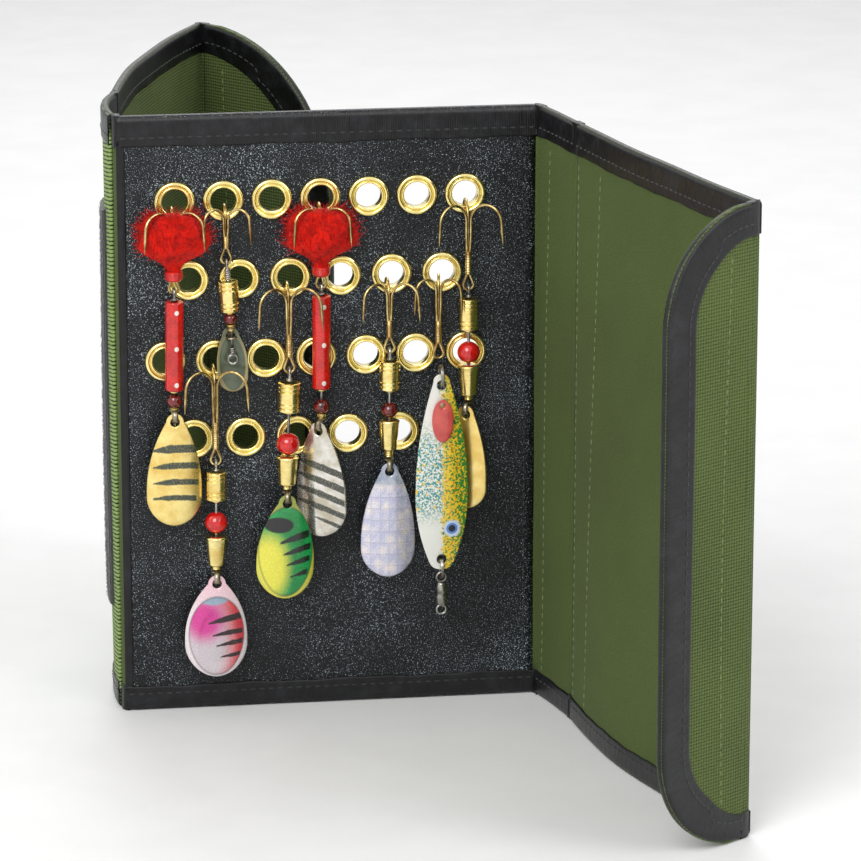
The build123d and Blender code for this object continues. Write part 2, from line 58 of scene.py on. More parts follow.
# Sizes in mm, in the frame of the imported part. Angles in degrees.
HEIGHT = 195.0
LEATHER_HALF = 65.75
PANEL_HALF = 66.75
PANEL_THICK = 3.0
MID_Y = 1.5
TAPE = 0.45
TAPE_TOP = 10.0
TAPE_LOW = 8.0
FLAP_TAPE = 12.0
SEAM_INSET = 2.4
HALF_SHEET = 1.0
HOLE = 4.1
LIP = 0.4
EYELET_ROWS = ((167.3, -48.8, 15.3, 7), (142.0, -44.8, 16.1, 6), (115.9, -52.4, 15.95, 7),
               (90.2, -43.7, 16.4, 6))
HOOK_Y = 0.6
HOOK_TIP = 7.0

SHAFT = 0.44
BORE = 0.48
LOOP = 1.45
RING_EYE = 1.57
CLEVIS_REACH = 3.4
BLADE_CUP = 18.0
BLADE_THICK = 0.55
PUFF_FLAT = 0.62
WIRE_HALF = 0.5
HOOK_BACK = 3.0
HOOK_SIT = 0.15
STRIP_WIDTH = 20.0
STRIP_LOW, STRIP_HIGH = 32.0, 163.0
SPOON_HOLE = 1.6
SPOON_HOLE_INSET = 3.4
RING_RADIUS = 3.15

# The photograph's viewing angle, in metres and mm of lens
CAMERA_PLACE = (-0.1747, -1.4907, 0.5154)
CAMERA_AIM = (0.0321, 0.0, 0.0898)
CAMERA_LENS = 204.8

# A spinner hangs at (row, column) of the eyelets, shifted across its hole on hooks of the given bend.
# The treble's eye, the bead and the blade's hole are heights from the foot, and depth is how far the shaft
# stands in front of the panel. body is (foot, head, radius), cone (foot, head, upper radius, lower radius)
# and blade (width, length).
Spinner = namedtuple("Spinner", (
    "row", "column", "shift", "bend", "eye", "depth", "lean", "ribbed", "body", "bead_at", "bead_radius",
    "cone", "hole", "blade", "turn"))
SPINNERS = {
    1: Spinner(0, 0, -0.9, 5.2, eye=140.6, depth=6.0, lean=0.8, ribbed=False, body=(107.9, 136.7, 2.9),
               bead_at=104.4, bead_radius=2.4, cone=None, hole=98.0, blade=(17.5, 37.0), turn=0),
    2: Spinner(0, 1, 0.4, 4.1, eye=149.4, depth=4.9, lean=-3.0, ribbed=True, body=(132.6, 142.6, 3.1),
               bead_at=130.2, bead_radius=2.0, cone=None, hole=124.0, blade=(9.4, 21.0), turn=184),
    3: Spinner(2, 1, -0.8, 5.6, eye=84.4, depth=6.2, lean=0.6, ribbed=True, body=(71.5, 80.8, 3.3),
               bead_at=63.9, bead_radius=3.6, cone=(49.8, 59.6, 3.4, 2.3), hole=44.2, blade=(20.0, 34.0),
               turn=0),
    4: Spinner(1, 2, -1.0, 5.6, eye=113.7, depth=6.6, lean=1.8, ribbed=True, body=(99.8, 109.3, 3.6),
               bead_at=89.1, bead_radius=3.7, cone=(75.8, 85.2, 3.5, 2.6), hole=70.0, blade=(18.4, 34.5),
               turn=0),
    5: Spinner(0, 3, -0.3, 5.0, eye=140.6, depth=5.2, lean=0.4, ribbed=False, body=(106.6, 136.8, 2.9),
               bead_at=100.6, bead_radius=2.5, cone=None, hole=93.2, blade=(17.4, 38.0), turn=-31),
    6: Spinner(1, 4, -1.2, 5.0, eye=118.9, depth=6.0, lean=0.8, ribbed=True, body=(105.6, 115.0, 3.3),
               bead_at=98.8, bead_radius=2.6, cone=(86.0, 95.8, 3.2, 2.3), hole=79.2, blade=(17.4, 38.0),
               turn=0),
    8: Spinner(0, 6, 0.5, 5.6, eye=138.7, depth=5.7, lean=0.0, ribbed=True, body=(124.3, 134.4, 3.1),
               bead_at=116.8, bead_radius=3.6, cone=(102.9, 112.9, 3.4, 2.4), hole=97.0, blade=(13.0, 34.0),
               turn=-30),
}
WITH_TIP = (1, 3, 4, 6)
SPOON = {"x": 34.2, "y": -10.2, "eye": 116.2, "bend": 4.1, "twist": -8.0, "top": 111.0, "low": 46.6,
         "width": 16.8}

# side, fold place, heading of the outward direction, length, end bow at foot and top, for each section
SECTIONS = {
    "right_spine": (1, (66.75, 1.5), -75.0, 29.0, 0.0, 0.0),
    "right_wing": (1, (74.256, -26.512), -73.4, 118.0, -6.6, -1.6),
    "right_flap": (1, (107.967, -139.594), -145.0, 38.0, 0.0, 0.0),
    "left_spine": (-1, (-66.75, 1.5), -93.7, 36.0, -2.6, -3.2),
    "left_wing": (-1, (-64.427, 37.425), -108.6, 118.0, -3.0, -5.0),
    "left_flap": (-1, (-26.790, 149.262), -228.0, 60.0, 0.0, 0.0),
}
FLAP_CORNER = {"right_flap": 34.0, "left_flap": 56.0}
FOLD_ORDER = {"right": ("panel", "right_spine", "right_wing", "right_flap"),
              "left": ("panel", "left_spine", "left_wing", "left_flap")}
GAP = {"spine": 3.1, "wing": 2.4, "flap": 3.0}


def paint(red, green, blue):
    """A colour as seen on screen, 0 to 255, turned into the linear values that a shader takes."""
    seen = np.array([red, green, blue], float) / 255.0
    linear = np.where(seen <= 0.04045, seen / 12.92, ((seen + 0.055) / 1.055) ** 2.4)
    return tuple(float(c) for c in linear)


# Meshes worked out as arrays


def quads(rows, columns, wrap_rows=False, wrap_columns=False):
    """Corner numbers of the quads of a grid of rows x columns points, joined end to start if it wraps."""
    r = np.arange(rows if wrap_rows else rows - 1)
    c = np.arange(columns if wrap_columns else columns - 1)
    r, c = np.meshgrid(r, c, indexing="ij")
    r1, c1 = (r + 1) % rows, (c + 1) % columns
    return np.stack([r * columns + c, r * columns + c1, r1 * columns + c1, r1 * columns + c],
                    -1).reshape(-1, 4)


def grid(points, wrap_rows=False, wrap_columns=False, uv=None):
    """One part of a piece: a grid of points, shape (rows, columns, 3), with its quads and its pattern
    coordinates."""
    rows, columns = points.shape[:2]
    flat = points.reshape(-1, 3)
    coordinates = np.zeros((len(flat), 2)) if uv is None else np.asarray(uv, float).reshape(-1, 2)
    return flat, quads(rows, columns, wrap_rows, wrap_columns), coordinates


def copies(part, places):
    """The same part once at each place: its points plus each offset, its quads counted on."""
    points, faces, uv = part
    places = np.asarray(places, float).reshape(-1, 1, 3)
    count = len(places)
    step = len(points) * np.arange(count).reshape(-1, 1, 1)
    return ((points[None] + places).reshape(-1, 3), (faces[None] + step).reshape(-1, faces.shape[1]),
            np.tile(uv, (count, 1)))


def flipped(part):
    """The same part facing the other way: each quad's corners in reverse."""
    points, faces, uv = part
    return points, faces[:, ::-1], uv


def piece(name, parts, body, finish, replaces=(), merge=0.0, outward=False):
    """One object from several parts in mm: its mesh, its pattern coordinates, its finish and its body."""
    start = 0
    points, faces, uvs = [], [], []
    for part_points, part_faces, part_uv in parts:
        points.append(part_points)
        faces.extend((part_faces + start).tolist())
        uvs.append(part_uv)
        start += len(part_points)
    points = np.concatenate(points) * 0.001
    uvs = np.concatenate(uvs)
    mesh = bpy.data.meshes.new(name)
    mesh.from_pydata(points.tolist(), [], faces)
    corner = np.zeros(len(mesh.loops), np.int32)
    mesh.loops.foreach_get("vertex_index", corner)
    layer = mesh.uv_layers.new(name="pattern")
    layer.data.foreach_set("uv", uvs[corner].astype(np.float32).ravel())
    mesh.polygons.foreach_set("use_smooth", np.full(len(mesh.polygons), True))
    mesh.materials.append(finish)
    if merge or outward:
        work = bmesh.new()
        work.from_mesh(mesh)
        if merge:
            bmesh.ops.remove_doubles(work, verts=work.verts, dist=merge * 0.001)
        if outward:
            bmesh.ops.recalc_face_normals(work, faces=work.faces)
        work.to_mesh(mesh)
        work.free()
    mesh.update()
    obj = bpy.data.objects.new(name, mesh)
    bpy.context.scene.collection.objects.link(obj)
    if body:
        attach(obj, body)
    if replaces:
        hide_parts(*replaces)
    return obj


def circle(count):
    """Cosine and sine of count angles, evenly round the circle."""
    angle = 2 * np.pi * np.arange(count) / count
    return np.cos(angle), np.sin(angle)


def lathe(profile, count=32, closed=True):
    """Turned form about the Z axis: the point (r cos a, r sin a, z) for each profile point (r, z) and angle
    a. The profile runs so that its outer side lies to its right."""
    profile = np.asarray(profile, float)
    cos, sin = circle(count)
    x = profile[:, :1] * cos
    y = profile[:, :1] * sin
    z = np.repeat(profile[:, 1:], count, 1)
    along = np.linspace(0, 1, len(profile)).reshape(-1, 1) * np.ones(count)
    round_ = np.ones((len(profile), 1)) * np.arange(count) / count
    return grid(np.stack([x, y, z], -1), closed, True, np.stack([round_, along], -1))


def tube(path, radius, count=12, normal=None, closed=False):
    """Round wire along a path: path point + radius (cos a . side + sin a . up), side and up square to the
    tangent. The radius may differ from point to point, and ends of open wires close to a point."""
    path = np.asarray(path, float)
    radius = np.ones(len(path)) * radius
    if not closed:
        path = np.concatenate([path[:1], path, path[-1:]])
        radius = np.concatenate([[1e-3], radius, [1e-3]])
    if closed:
        tangent = np.roll(path, -1, 0) - np.roll(path, 1, 0)
    else:
        tangent = np.gradient(path, axis=0)
        tangent[0], tangent[-1] = tangent[2], tangent[-3]
        tangent[1], tangent[-2] = tangent[2], tangent[-3]
    tangent /= np.linalg.norm(tangent, axis=1, keepdims=True)
    normal = np.array([0.0, 1.0, 0.0]) if normal is None else np.asarray(normal, float)
    side = np.cross(tangent, normal)
    side /= np.linalg.norm(side, axis=1, keepdims=True)
    up = np.cross(side, tangent)
    cos, sin = circle(count)
    ring = side[:, None] * cos[None, :, None] + up[:, None] * sin[None, :, None]
    points = path[:, None] + ring * radius[:, None, None]
    length = np.concatenate([[0], np.cumsum(np.linalg.norm(np.diff(path, axis=0), axis=1))])
    uv = np.stack([length[:, None] + 0 * cos, np.ones((len(path), 1)) * np.arange(count) / count], -1)
    return grid(points, closed, True, uv)


def ring_path(radius, centre, plane, count=40):
    """Circle of points about a centre, in the XZ or the YZ plane."""
    cos, sin = circle(count)
    zero = 0 * cos
    across, up = radius * cos, radius * sin
    shape = np.stack([across, zero, up] if plane == "xz" else [zero, across, up], -1)
    return shape + np.asarray(centre, float)


def moved(part, offset):
    """The same part shifted: each point plus the offset."""
    return part[0] + np.asarray(offset, float), part[1], part[2]


def turned_about_z(part, angle):
    """The same part turned: (x cos a - y sin a, x sin a + y cos a, z)."""
    a = math.radians(angle)
    x, y, z = part[0].T
    points = np.stack([x * math.cos(a) - y * math.sin(a), x * math.sin(a) + y * math.cos(a), z], -1)
    return points, part[1], part[2]


# The sections of the cover: a point from its length from the fold, offset across and height


class Section:
    """A folding section of the cover. point(s, h, z) = fold + s . along + (h + bow) . across, at height z,
    the bow a parabola over the length."""

    def __init__(self, name):
        side, fold, heading, length, low_bow, top_bow = SECTIONS[name]
        angle = math.radians(heading)
        self.name = name
        self.side = side
        self.length = length
        self.fold = np.array(fold)
        self.along = side * np.array([math.cos(angle), math.sin(angle)])
        self.across = np.array([-math.sin(angle), math.cos(angle)])
        self.bows = (low_bow, top_bow)
        self.corner = FLAP_CORNER.get(name)

    def bow(self, s, z):
        """Bow at (s, z): the parabola 4 a u (1 - u), u the share of the length, with soft waves."""
        share = np.clip(s / self.length, 0, 1)
        amount = self.bows[0] + (self.bows[1] - self.bows[0]) * z / HEIGHT
        soft = 0.25 * np.sin(s * 0.11 + z * 0.035) * np.sin(np.pi * share)
        return amount * 4 * share * (1 - share) + soft

    def point(self, s, h, z):
        """Point at length s from the fold, h across the sheet and height z."""
        s, h, z = np.broadcast_arrays(np.asarray(s, float), np.asarray(h, float), np.asarray(z, float))
        across = h + self.bow(s, z)
        x = self.fold[0] + s * self.along[0] + across * self.across[0]
        y = self.fold[1] + s * self.along[1] + across * self.across[1]
        return np.stack([x, y, z], -1)

    def end(self, z):
        """Where the section ends at each height: its length, drawn in by the round corners of a flap."""
        if self.corner is None:
            return np.full(np.shape(z), self.length)
        low = np.clip((self.corner - z) / self.corner, 0, 1)
        high = np.clip((z - (HEIGHT - self.corner)) / self.corner, 0, 1)
        return self.length - self.corner * (1 - np.sqrt(1 - np.maximum(low, high) ** 2))


def heights(corner, inset_low, inset_top, count=60):
    """Heights from foot to top, closer together along the round corners."""
    if corner is None:
        return np.linspace(inset_low, HEIGHT - inset_top, count)
    bend = np.linspace(0, np.pi / 2, 22)[:-1]
    low = corner * (1 - np.cos(bend))
    high = HEIGHT - low[::-1]
    return np.clip(np.concatenate([low, np.linspace(corner, HEIGHT - corner, 30), high]), inset_low,
                   HEIGHT - inset_top)


def sheet_part(section, start, h0, h1, inset=0.3, columns=60):
    """Sheet of a section from its fold to its end, h0 to h1 across: front, edges and back as one closed
    grid. The point is section.point(start + u (end(z) - start), h, z)."""
    z = heights(section.corner, inset, inset)
    u = np.linspace(0, 1, columns)
    reach = section.end(z) - inset
    s = start + u[None] * (reach[:, None] - start)
    zz = np.repeat(z[:, None], columns, 1)
    one = section.point(s, h0, zz)
    two = section.point(s[:, ::-1], h1, zz)
    points = np.concatenate([one, two], 1)
    uv = np.concatenate([np.stack([s, zz], -1), np.stack([s[:, ::-1], zz], -1)], 1)
    body = grid(points, False, True, uv)
    caps = []
    for row, flip in ((0, False), (len(z) - 1, True)):
        pair = np.stack([one[row], two[row, ::-1]])
        cap = grid(pair, uv=np.stack([np.stack([s[row], zz[row]], -1)] * 2))
        caps.append(flipped(cap) if flip else cap)
    return [body] + caps


def tape_loop(width, out, count=7):
    """Cross-section of a folded tape: (inwards from the edge, offset across), outside first, then inside."""
    turn = np.linspace(-np.pi / 2, np.pi / 2, count)
    outer_w = np.concatenate([[width, width - 0.2], np.linspace(width - 0.8, out, 8),
                              out * (1 - np.cos(turn)),
                              np.linspace(out, width - 0.8, 8), [width - 0.2, width]])
    outer_h = np.concatenate([[-out + 0.25, -out], np.full(8, -out), out * np.sin(turn), np.full(8, out),
                              [out, out - 0.25]])
    inner_w = np.array([width, TAPE + 0.2, TAPE, TAPE, TAPE + 0.2, width])
    inner_h = np.array([out - TAPE, out - TAPE, out - TAPE - 0.2, -out + TAPE + 0.2, -out + TAPE,
                        -out + TAPE])
    return np.concatenate([outer_w, inner_w]), np.concatenate([outer_h, inner_h])


def straight_tape(section, start, end, at_top, out):
    """Tape over the top or lower edge of a section: the cross-section carried along the edge."""
    width = TAPE_TOP if at_top else TAPE_LOW
    w, h = tape_loop(width, out)
    s = np.linspace(start, end, 70)
    wave = 0.18 * np.sin(s * 0.21 + (2.0 if at_top else 0.0)) + 0.1 * np.sin(s * 0.57)
    w = w[None] + wave[:, None] * (w[None] > 3.0)
    z = HEIGHT - w if at_top else w
    points = section.point(s[:, None] + 0 * w, h[None] + 0 * w, z)
    uv = np.stack([s[:, None] + 0 * w, w + np.sign(h)[None] * 12.0], -1)
    return [grid(points, False, True, uv)] + end_caps(points)


def end_caps(points):
    """Flat ends of a closed section: strips between opposite points of the first and the last loop."""
    caps = []
    half = points.shape[1] // 2
    for row in (0, -1):
        loop = points[row]
        pair = np.stack([loop[:half], loop[::-1][:half]])
        caps.append(grid(pair))
    return caps


def flap_edge(section, start, count_line=40, count_bend=28):
    """Edge of a flap as (s, z) with its inward direction: along the foot, up, and back."""
    corner, length = section.corner, section.length
    bend = np.linspace(0, np.pi / 2, count_bend)
    knee = length - corner
    line = np.linspace(start, knee, 6)[:-1] if knee > start + 0.5 else np.array([start])
    s = np.concatenate([line, knee + corner * np.sin(bend), np.full(count_line, length),
                        knee + corner * np.cos(bend), line[::-1]])
    up = np.linspace(corner, HEIGHT - corner, count_line + 2)[1:-1]
    z = np.concatenate([0 * line, corner * (1 - np.cos(bend)), up, HEIGHT - corner * (1 - np.sin(bend)),
                        HEIGHT + 0 * line])
    in_s = np.concatenate([0 * line, -np.sin(bend), -np.ones(count_line), -np.cos(bend), 0 * line])
    in_z = np.concatenate([1 + 0 * line, np.cos(bend), np.zeros(count_line), -np.sin(bend), -1 + 0 * line])
    return s, z, in_s, in_z


def flap_tape(section, start, out):
    """Tape round the free edge of a flap: wider at the round end."""
    s, z, in_s, in_z = flap_edge(section, start)
    ease = np.clip(np.abs(in_s) * 1.6, 0, 1)
    width = np.where(z < HEIGHT / 2, TAPE_LOW, TAPE_TOP) * (1 - ease) + FLAP_TAPE * ease
    full_w, full_h = tape_loop(FLAP_TAPE, out)
    w = full_w[None] * (width / FLAP_TAPE)[:, None]
    w = np.where(full_w[None] < 3.0, full_w[None], w)
    points = section.point(s[:, None] + in_s[:, None] * w, full_h[None] + 0 * w,
                           z[:, None] + in_z[:, None] * w)
    run = np.concatenate([[0], np.cumsum(np.hypot(np.diff(s), np.diff(z)))])
    uv = np.stack([run[:, None] + 0 * w, w + np.sign(full_h)[None] * 15.0], -1)
    return [grid(points, False, True, uv)] + end_caps(points)


def stitch_part(points, ahead, normal, length=1.9, radius=0.26):
    """Row of stitches: half an ellipsoid at each place, long along the seam and raised along the normal."""
    points, ahead, normal = (np.asarray(a, float).reshape(-1, 3) for a in (points, ahead, normal))
    ahead = ahead / np.linalg.norm(ahead, axis=1, keepdims=True)
    normal = normal / np.linalg.norm(normal, axis=1, keepdims=True)
    side = np.cross(normal, ahead)
    t = np.linspace(-1, 1, 7)
    a = np.linspace(-0.15 * np.pi, 1.15 * np.pi, 7)
    swell = np.sqrt(np.clip(1 - t ** 2, 0, 1))
    along = t * length / 2
    across = radius * np.cos(a)[None] * swell[:, None]
    rise = radius * 0.9 * np.sin(a)[None] * swell[:, None]
    shape = (points[:, None, None] + ahead[:, None, None] * along[None, :, None, None]
             + side[:, None, None] * across[None, :, :, None]
             + normal[:, None, None] * rise[None, :, :, None])
    count = len(points)
    one = quads(7, 7)
    faces = (one[None] + 49 * np.arange(count).reshape(-1, 1, 1)).reshape(-1, 4)
    uv = np.zeros((count * 49, 2))
    uv[:, 0] = np.tile(np.repeat(along, 7), count)
    return shape.reshape(-1, 3), faces, uv


def seam(section, s, z, outer, lift=0.0):
    """Stitches along a line on one face of a section; s and z are arrays of places, one stitch at each."""
    h = (HALF_SHEET + lift) * (1 if outer else -1)
    here = section.point(s, h, z)
    ahead = np.gradient(here, axis=0)
    s_step = section.point(s + 0.5, h, z) - here
    z_step = section.point(s, h, z + 0.5) - here
    normal = np.cross(s_step, z_step)
    middle = section.point(s, 0.0, z)
    normal *= np.sign(np.sum(normal * (here - middle), axis=1, keepdims=True))
    return stitch_part(here, ahead, normal)


# Finishes


class Finish:
    """A procedural finish built up node by node. A value that is a socket is linked, any other is set."""

    def __init__(self, name, color, roughness, metallic=0.0, coat=0.0, sheen=0.0, coat_roughness=0.08):
        self.material = bpy.data.materials.new(name)
        self.material.use_nodes = True
        self.nodes = self.material.node_tree.nodes
        self.links = self.material.node_tree.links
        self.shader = self.nodes["Principled BSDF"]
        self.put(self.shader, "Base Color", color)
        self.put(self.shader, "Roughness", roughness)
        self.put(self.shader, "Metallic", metallic)
        self.put(self.shader, "Coat Weight", coat)
        self.put(self.shader, "Coat Roughness", coat_roughness)
        self.put(self.shader, "Sheen Weight", sheen)
        self.place = self.nodes.new("ShaderNodeTexCoord")

    def put(self, node, socket, value):
        """Link or set one socket."""
        target = node.inputs[socket]
        if isinstance(value, bpy.types.NodeSocket):
            self.links.new(value, target)
        elif isinstance(value, tuple) and len(value) == 3 and target.type == "RGBA":
            target.default_value = (*value, 1.0)
        else:
            target.default_value = value

    def sum(self, operation, a, b=0.0, c=0.0):
        """One math step on a, b and c."""
        node = self.nodes.new("ShaderNodeMath")
        node.operation = operation
        for index, value in enumerate((a, b, c)):
            self.put(node, index, value)
        return node.outputs[0]

    def mix(self, factor, a, b):
        """Colour a (1 - factor) + b factor."""
        node = self.nodes.new("ShaderNodeMix")
        node.data_type = "RGBA"
        self.put(node, 0, factor)
        self.put(node, 6, a)
        self.put(node, 7, b)
        return node.outputs[2]

    def span(self, value, low, high, to_low=0.0, to_high=1.0):
        """Smooth step from low to high."""
        node = self.nodes.new("ShaderNodeMapRange")
        node.interpolation_type = "SMOOTHSTEP"
        for index, number in enumerate((value, low, high, to_low, to_high)):
            self.put(node, index, number)
        return node.outputs[0]

    def stretched(self, vector, scale):
        """Coordinates times the scale."""
        node = self.nodes.new("ShaderNodeMapping")
        self.put(node, "Vector", vector)
        node.inputs["Scale"].default_value = scale
        return node.outputs[0]

    def noise(self, scale, detail=3.0, vector=None, rough=0.55):
        """Cloudy noise from 0 to 1."""
        node = self.nodes.new("ShaderNodeTexNoise")
        self.put(node, "Vector", vector or self.place.outputs["Object"])
        self.put(node, "Scale", scale)
        self.put(node, "Detail", detail)
        self.put(node, "Roughness", rough)
        return node.outputs[0]

    def cells(self, scale, vector=None, feature="F1", output="Distance"):
        """Rounded cells."""
        node = self.nodes.new("ShaderNodeTexVoronoi")
        node.feature = feature
        self.put(node, "Vector", vector or self.place.outputs["Object"])
        self.put(node, "Scale", scale)
        return node.outputs[output]

    def oval(self, u, v, at_u, at_v, wide, high):
        """Distance from the middle of an oval, 1 on its line."""
        du = self.sum("DIVIDE", self.sum("SUBTRACT", u, at_u), wide)
        dv = self.sum("DIVIDE", self.sum("SUBTRACT", v, at_v), high)
        return self.sum("SQRT", self.sum("ADD", self.sum("MULTIPLY", du, du), self.sum("MULTIPLY", dv, dv)))

    def split(self, vector):
        """The three coordinates one by one."""
        node = self.nodes.new("ShaderNodeSeparateXYZ")
        self.put(node, 0, vector)
        return node.outputs

    def bump(self, height, distance, strength=1.0):
        """Relief of the height, added to the relief so far."""
        node = self.nodes.new("ShaderNodeBump")
        self.put(node, "Height", height)
        node.inputs["Distance"].default_value = distance
        node.inputs["Strength"].default_value = strength
        if self.shader.inputs["Normal"].is_linked:
            self.links.new(self.shader.inputs["Normal"].links[0].from_socket, node.inputs["Normal"])
        self.links.new(node.outputs[0], self.shader.inputs["Normal"])


def cloth_finish(name, light, dark, pitch, depth, sheen=0.04):
    """Plain weave: warp |sin pi u| over weft |sin pi v| by turns, u and v in threads. The weave's relief is
    painted into the colour as shade, dark in the gaps and light on the crowns of the threads, with slubs and
    broad clouds of uneven tone.
    """
    f = Finish(name, light, 0.86, sheen=sheen)
    f.put(f.shader, "Sheen Roughness", 0.5)
    f.put(f.shader, "Specular IOR Level", 0.3)
    wander = f.noise(2.0, 2.0, f.stretched(f.place.outputs["UV"], (0.5, 0.5, 1)))
    u, v, _ = f.split(f.stretched(f.place.outputs["UV"], (1 / pitch, 1 / pitch, 1)))
    u = f.sum("ADD", u, f.sum("MULTIPLY", wander, 0.35))
    turn_u = f.sum("MULTIPLY", f.sum("FLOOR", u), math.pi)
    turn_v = f.sum("MULTIPLY", f.sum("FLOOR", v), math.pi)
    wave_u = f.sum("MULTIPLY", u, math.pi)
    wave_v = f.sum("MULTIPLY", v, math.pi)
    warp = f.sum("MULTIPLY", f.sum("ABSOLUTE", f.sum("SINE", wave_u)),
                 f.sum("MULTIPLY_ADD", f.sum("SINE", f.sum("ADD", wave_v, turn_u)), 0.42, 0.58))
    weft = f.sum("MULTIPLY", f.sum("ABSOLUTE", f.sum("SINE", wave_v)),
                 f.sum("MULTIPLY_ADD", f.sum("SINE", f.sum("ADD", wave_u, turn_v)), -0.42, 0.58))
    height = f.sum("MAXIMUM", warp, weft)
    slub = f.noise(1.0, 4.0, f.stretched(f.place.outputs["UV"], (0.9, 2.2, 1)))
    broad = f.noise(14.0, 3.0)
    tone = f.sum("MULTIPLY_ADD", f.sum("SUBTRACT", slub, 0.5), 0.9, height)
    tone = f.sum("MULTIPLY_ADD", f.sum("SUBTRACT", broad, 0.5), 0.8, tone)
    # painted shade: the colour follows the weave's relief, dark in the gaps between threads, plus the cloth's
    # own slubs and clouds
    f.put(f.shader, "Base Color", f.mix(f.span(tone, 0.1, 1.0), dark, light))
    f.put(f.shader, "Roughness", f.span(height, 0.0, 1.0, 0.95, 0.78))
    f.bump(broad, 0.0008, 0.3)
    f.bump(height, depth, 0.9)
    return f.material


def leather_finish(name, light, dark):
    """Pebbled leatherette: rounded cells under a millimetre wide, near black, with painted shade darkening
    the hollows between the pebbles and a bluish painted highlight, a glint, on their crowns. The painted
    glints gather in broad clouds and thin out between them."""
    f = Finish(name, dark, 0.42, coat=0.08, coat_roughness=0.3)
    f.put(f.shader, "Specular IOR Level", 0.3)
    pebble = f.cells(1500.0, feature="SMOOTH_F1")
    glint = f.noise(2600.0, 2.0, rough=0.6)
    broad = f.noise(26.0, 3.0)
    grain = f.sum("SUBTRACT", 1.0, pebble)
    color = f.mix(f.span(broad, 0.35, 0.75), dark, light)
    # painted shade: the hollows between the pebbles are darkened towards black
    color = f.mix(f.span(grain, 0.35, 0.75, 0.6, 0.0), color, (0.002, 0.002, 0.003))
    # painted highlight: bluish-white glints where the fine noise peaks, more of them in the broad clouds
    spots = f.sum("ADD", glint, f.span(broad, 0.3, 0.75, -0.03, 0.03))
    color = f.mix(f.span(spots, 0.615, 0.65, 0.0, 0.9), color, paint(176, 190, 198))
    f.put(f.shader, "Base Color", color)
    f.put(f.shader, "Roughness", f.span(glint, 0.3, 0.7, 0.6, 0.34))
    f.bump(broad, 0.0006, 0.25)
    f.bump(grain, 0.00025, 0.9)
    return f.material


def twill_finish(name, light, dark, pitch):
    """Coarse twill: cords |sin pi (0.16 u + v)| that rise along u, each cut into short floats. The relief is
    painted into the colour as shade, dark between the cords and light on them.
    """
    f = Finish(name, light, 0.85, sheen=0.05)
    f.put(f.shader, "Specular IOR Level", 0.25)
    u, v, _ = f.split(f.stretched(f.place.outputs["UV"], (1 / pitch, 1 / pitch, 1)))
    wander = f.noise(1.0, 3.0, f.stretched(f.place.outputs["UV"], (0.8, 0.8, 1)))
    slant = f.sum("ADD", f.sum("MULTIPLY", u, 0.16), f.sum("MULTIPLY_ADD", wander, 0.35, v))
    cord = f.sum("ABSOLUTE", f.sum("SINE", f.sum("MULTIPLY", slant, math.pi)))
    cut = f.sum("ABSOLUTE", f.sum("SINE", f.sum("MULTIPLY", f.sum("SUBTRACT", u, v), math.pi * 0.2)))
    height = f.sum("MULTIPLY_ADD", cut, 0.35, cord)
    # painted shade: dark between the cords, light on their crowns
    f.put(f.shader, "Base Color", f.mix(f.span(height, 0.35, 0.95), dark, light))
    f.put(f.shader, "Roughness", f.span(height, 0.3, 1.2, 0.95, 0.75))
    f.bump(height, 0.0005, 0.9)
    return f.material


def tape_finish(name, light, dark):
    """Glossy binding tape: fine cross ribs along u, puckers, and lighter bluish blotches of fine noise that
    stand partly for rubbed wear and partly for painted highlights.
    """
    f = Finish(name, dark, 0.36, coat=0.12, coat_roughness=0.2)
    f.put(f.shader, "Specular IOR Level", 0.3)
    u, _, _ = f.split(f.place.outputs["UV"])
    rib = f.sum("ABSOLUTE", f.sum("SINE", f.sum("MULTIPLY", u, math.pi / 0.55)))
    pucker = f.noise(1.0, 3.0, f.stretched(f.place.outputs["UV"], (0.45, 0.12, 1)))
    # painted highlight and wear: the lighter bluish blotches stand partly for rubbed wear and partly for
    # highlights
    wear_and_highlight = f.noise(160.0, 5.0, rough=0.7)
    f.put(f.shader, "Base Color", f.mix(f.span(wear_and_highlight, 0.4, 0.85), dark, light))
    f.put(f.shader, "Roughness", f.span(wear_and_highlight, 0.3, 0.8, 0.3, 0.44))
    f.bump(pucker, 0.0006, 0.5)
    f.bump(rib, 0.00008, 0.6)
    return f.material


def metal_finish(name, light, dark, roughness=0.24, scratch=(900, 900, 90)):
    """Worn metal: tarnish in broad patches, fine drawn scratches, and roughness that follows both."""
    f = Finish(name, light, roughness, metallic=1.0)
    patch = f.noise(260.0, 4.0)
    lines = f.noise(1.0, 3.0, f.stretched(f.place.outputs["Object"], scratch))
    tone = f.sum("MULTIPLY_ADD", lines, 0.35, f.sum("MULTIPLY", patch, 0.8))
    f.put(f.shader, "Base Color", f.mix(f.span(tone, 0.35, 0.85), dark, light))
    f.put(f.shader, "Roughness", f.span(tone, 0.3, 0.85, min(roughness + 0.18, 1.0), roughness))
    f.bump(lines, 0.00004, 0.5)
    return f.material


def gloss_finish(name, light, dark, roughness=0.16, grain=220.0):
    """Glossy coloured plastic or lacquer, its depth varied by soft clouds, with tiny scuffs."""
    f = Finish(name, light, roughness, coat=0.6, coat_roughness=0.05)
    cloud = f.noise(grain, 3.0)
    scuff = f.noise(2400.0, 4.0, rough=0.7)
    f.put(f.shader, "Base Color", f.mix(f.span(cloud, 0.3, 0.7), dark, light))
    f.put(f.shader, "Roughness", f.span(scuff, 0.4, 0.75, roughness, roughness + 0.14))
    f.bump(cloud, 0.00006, 0.4)
    return f.material


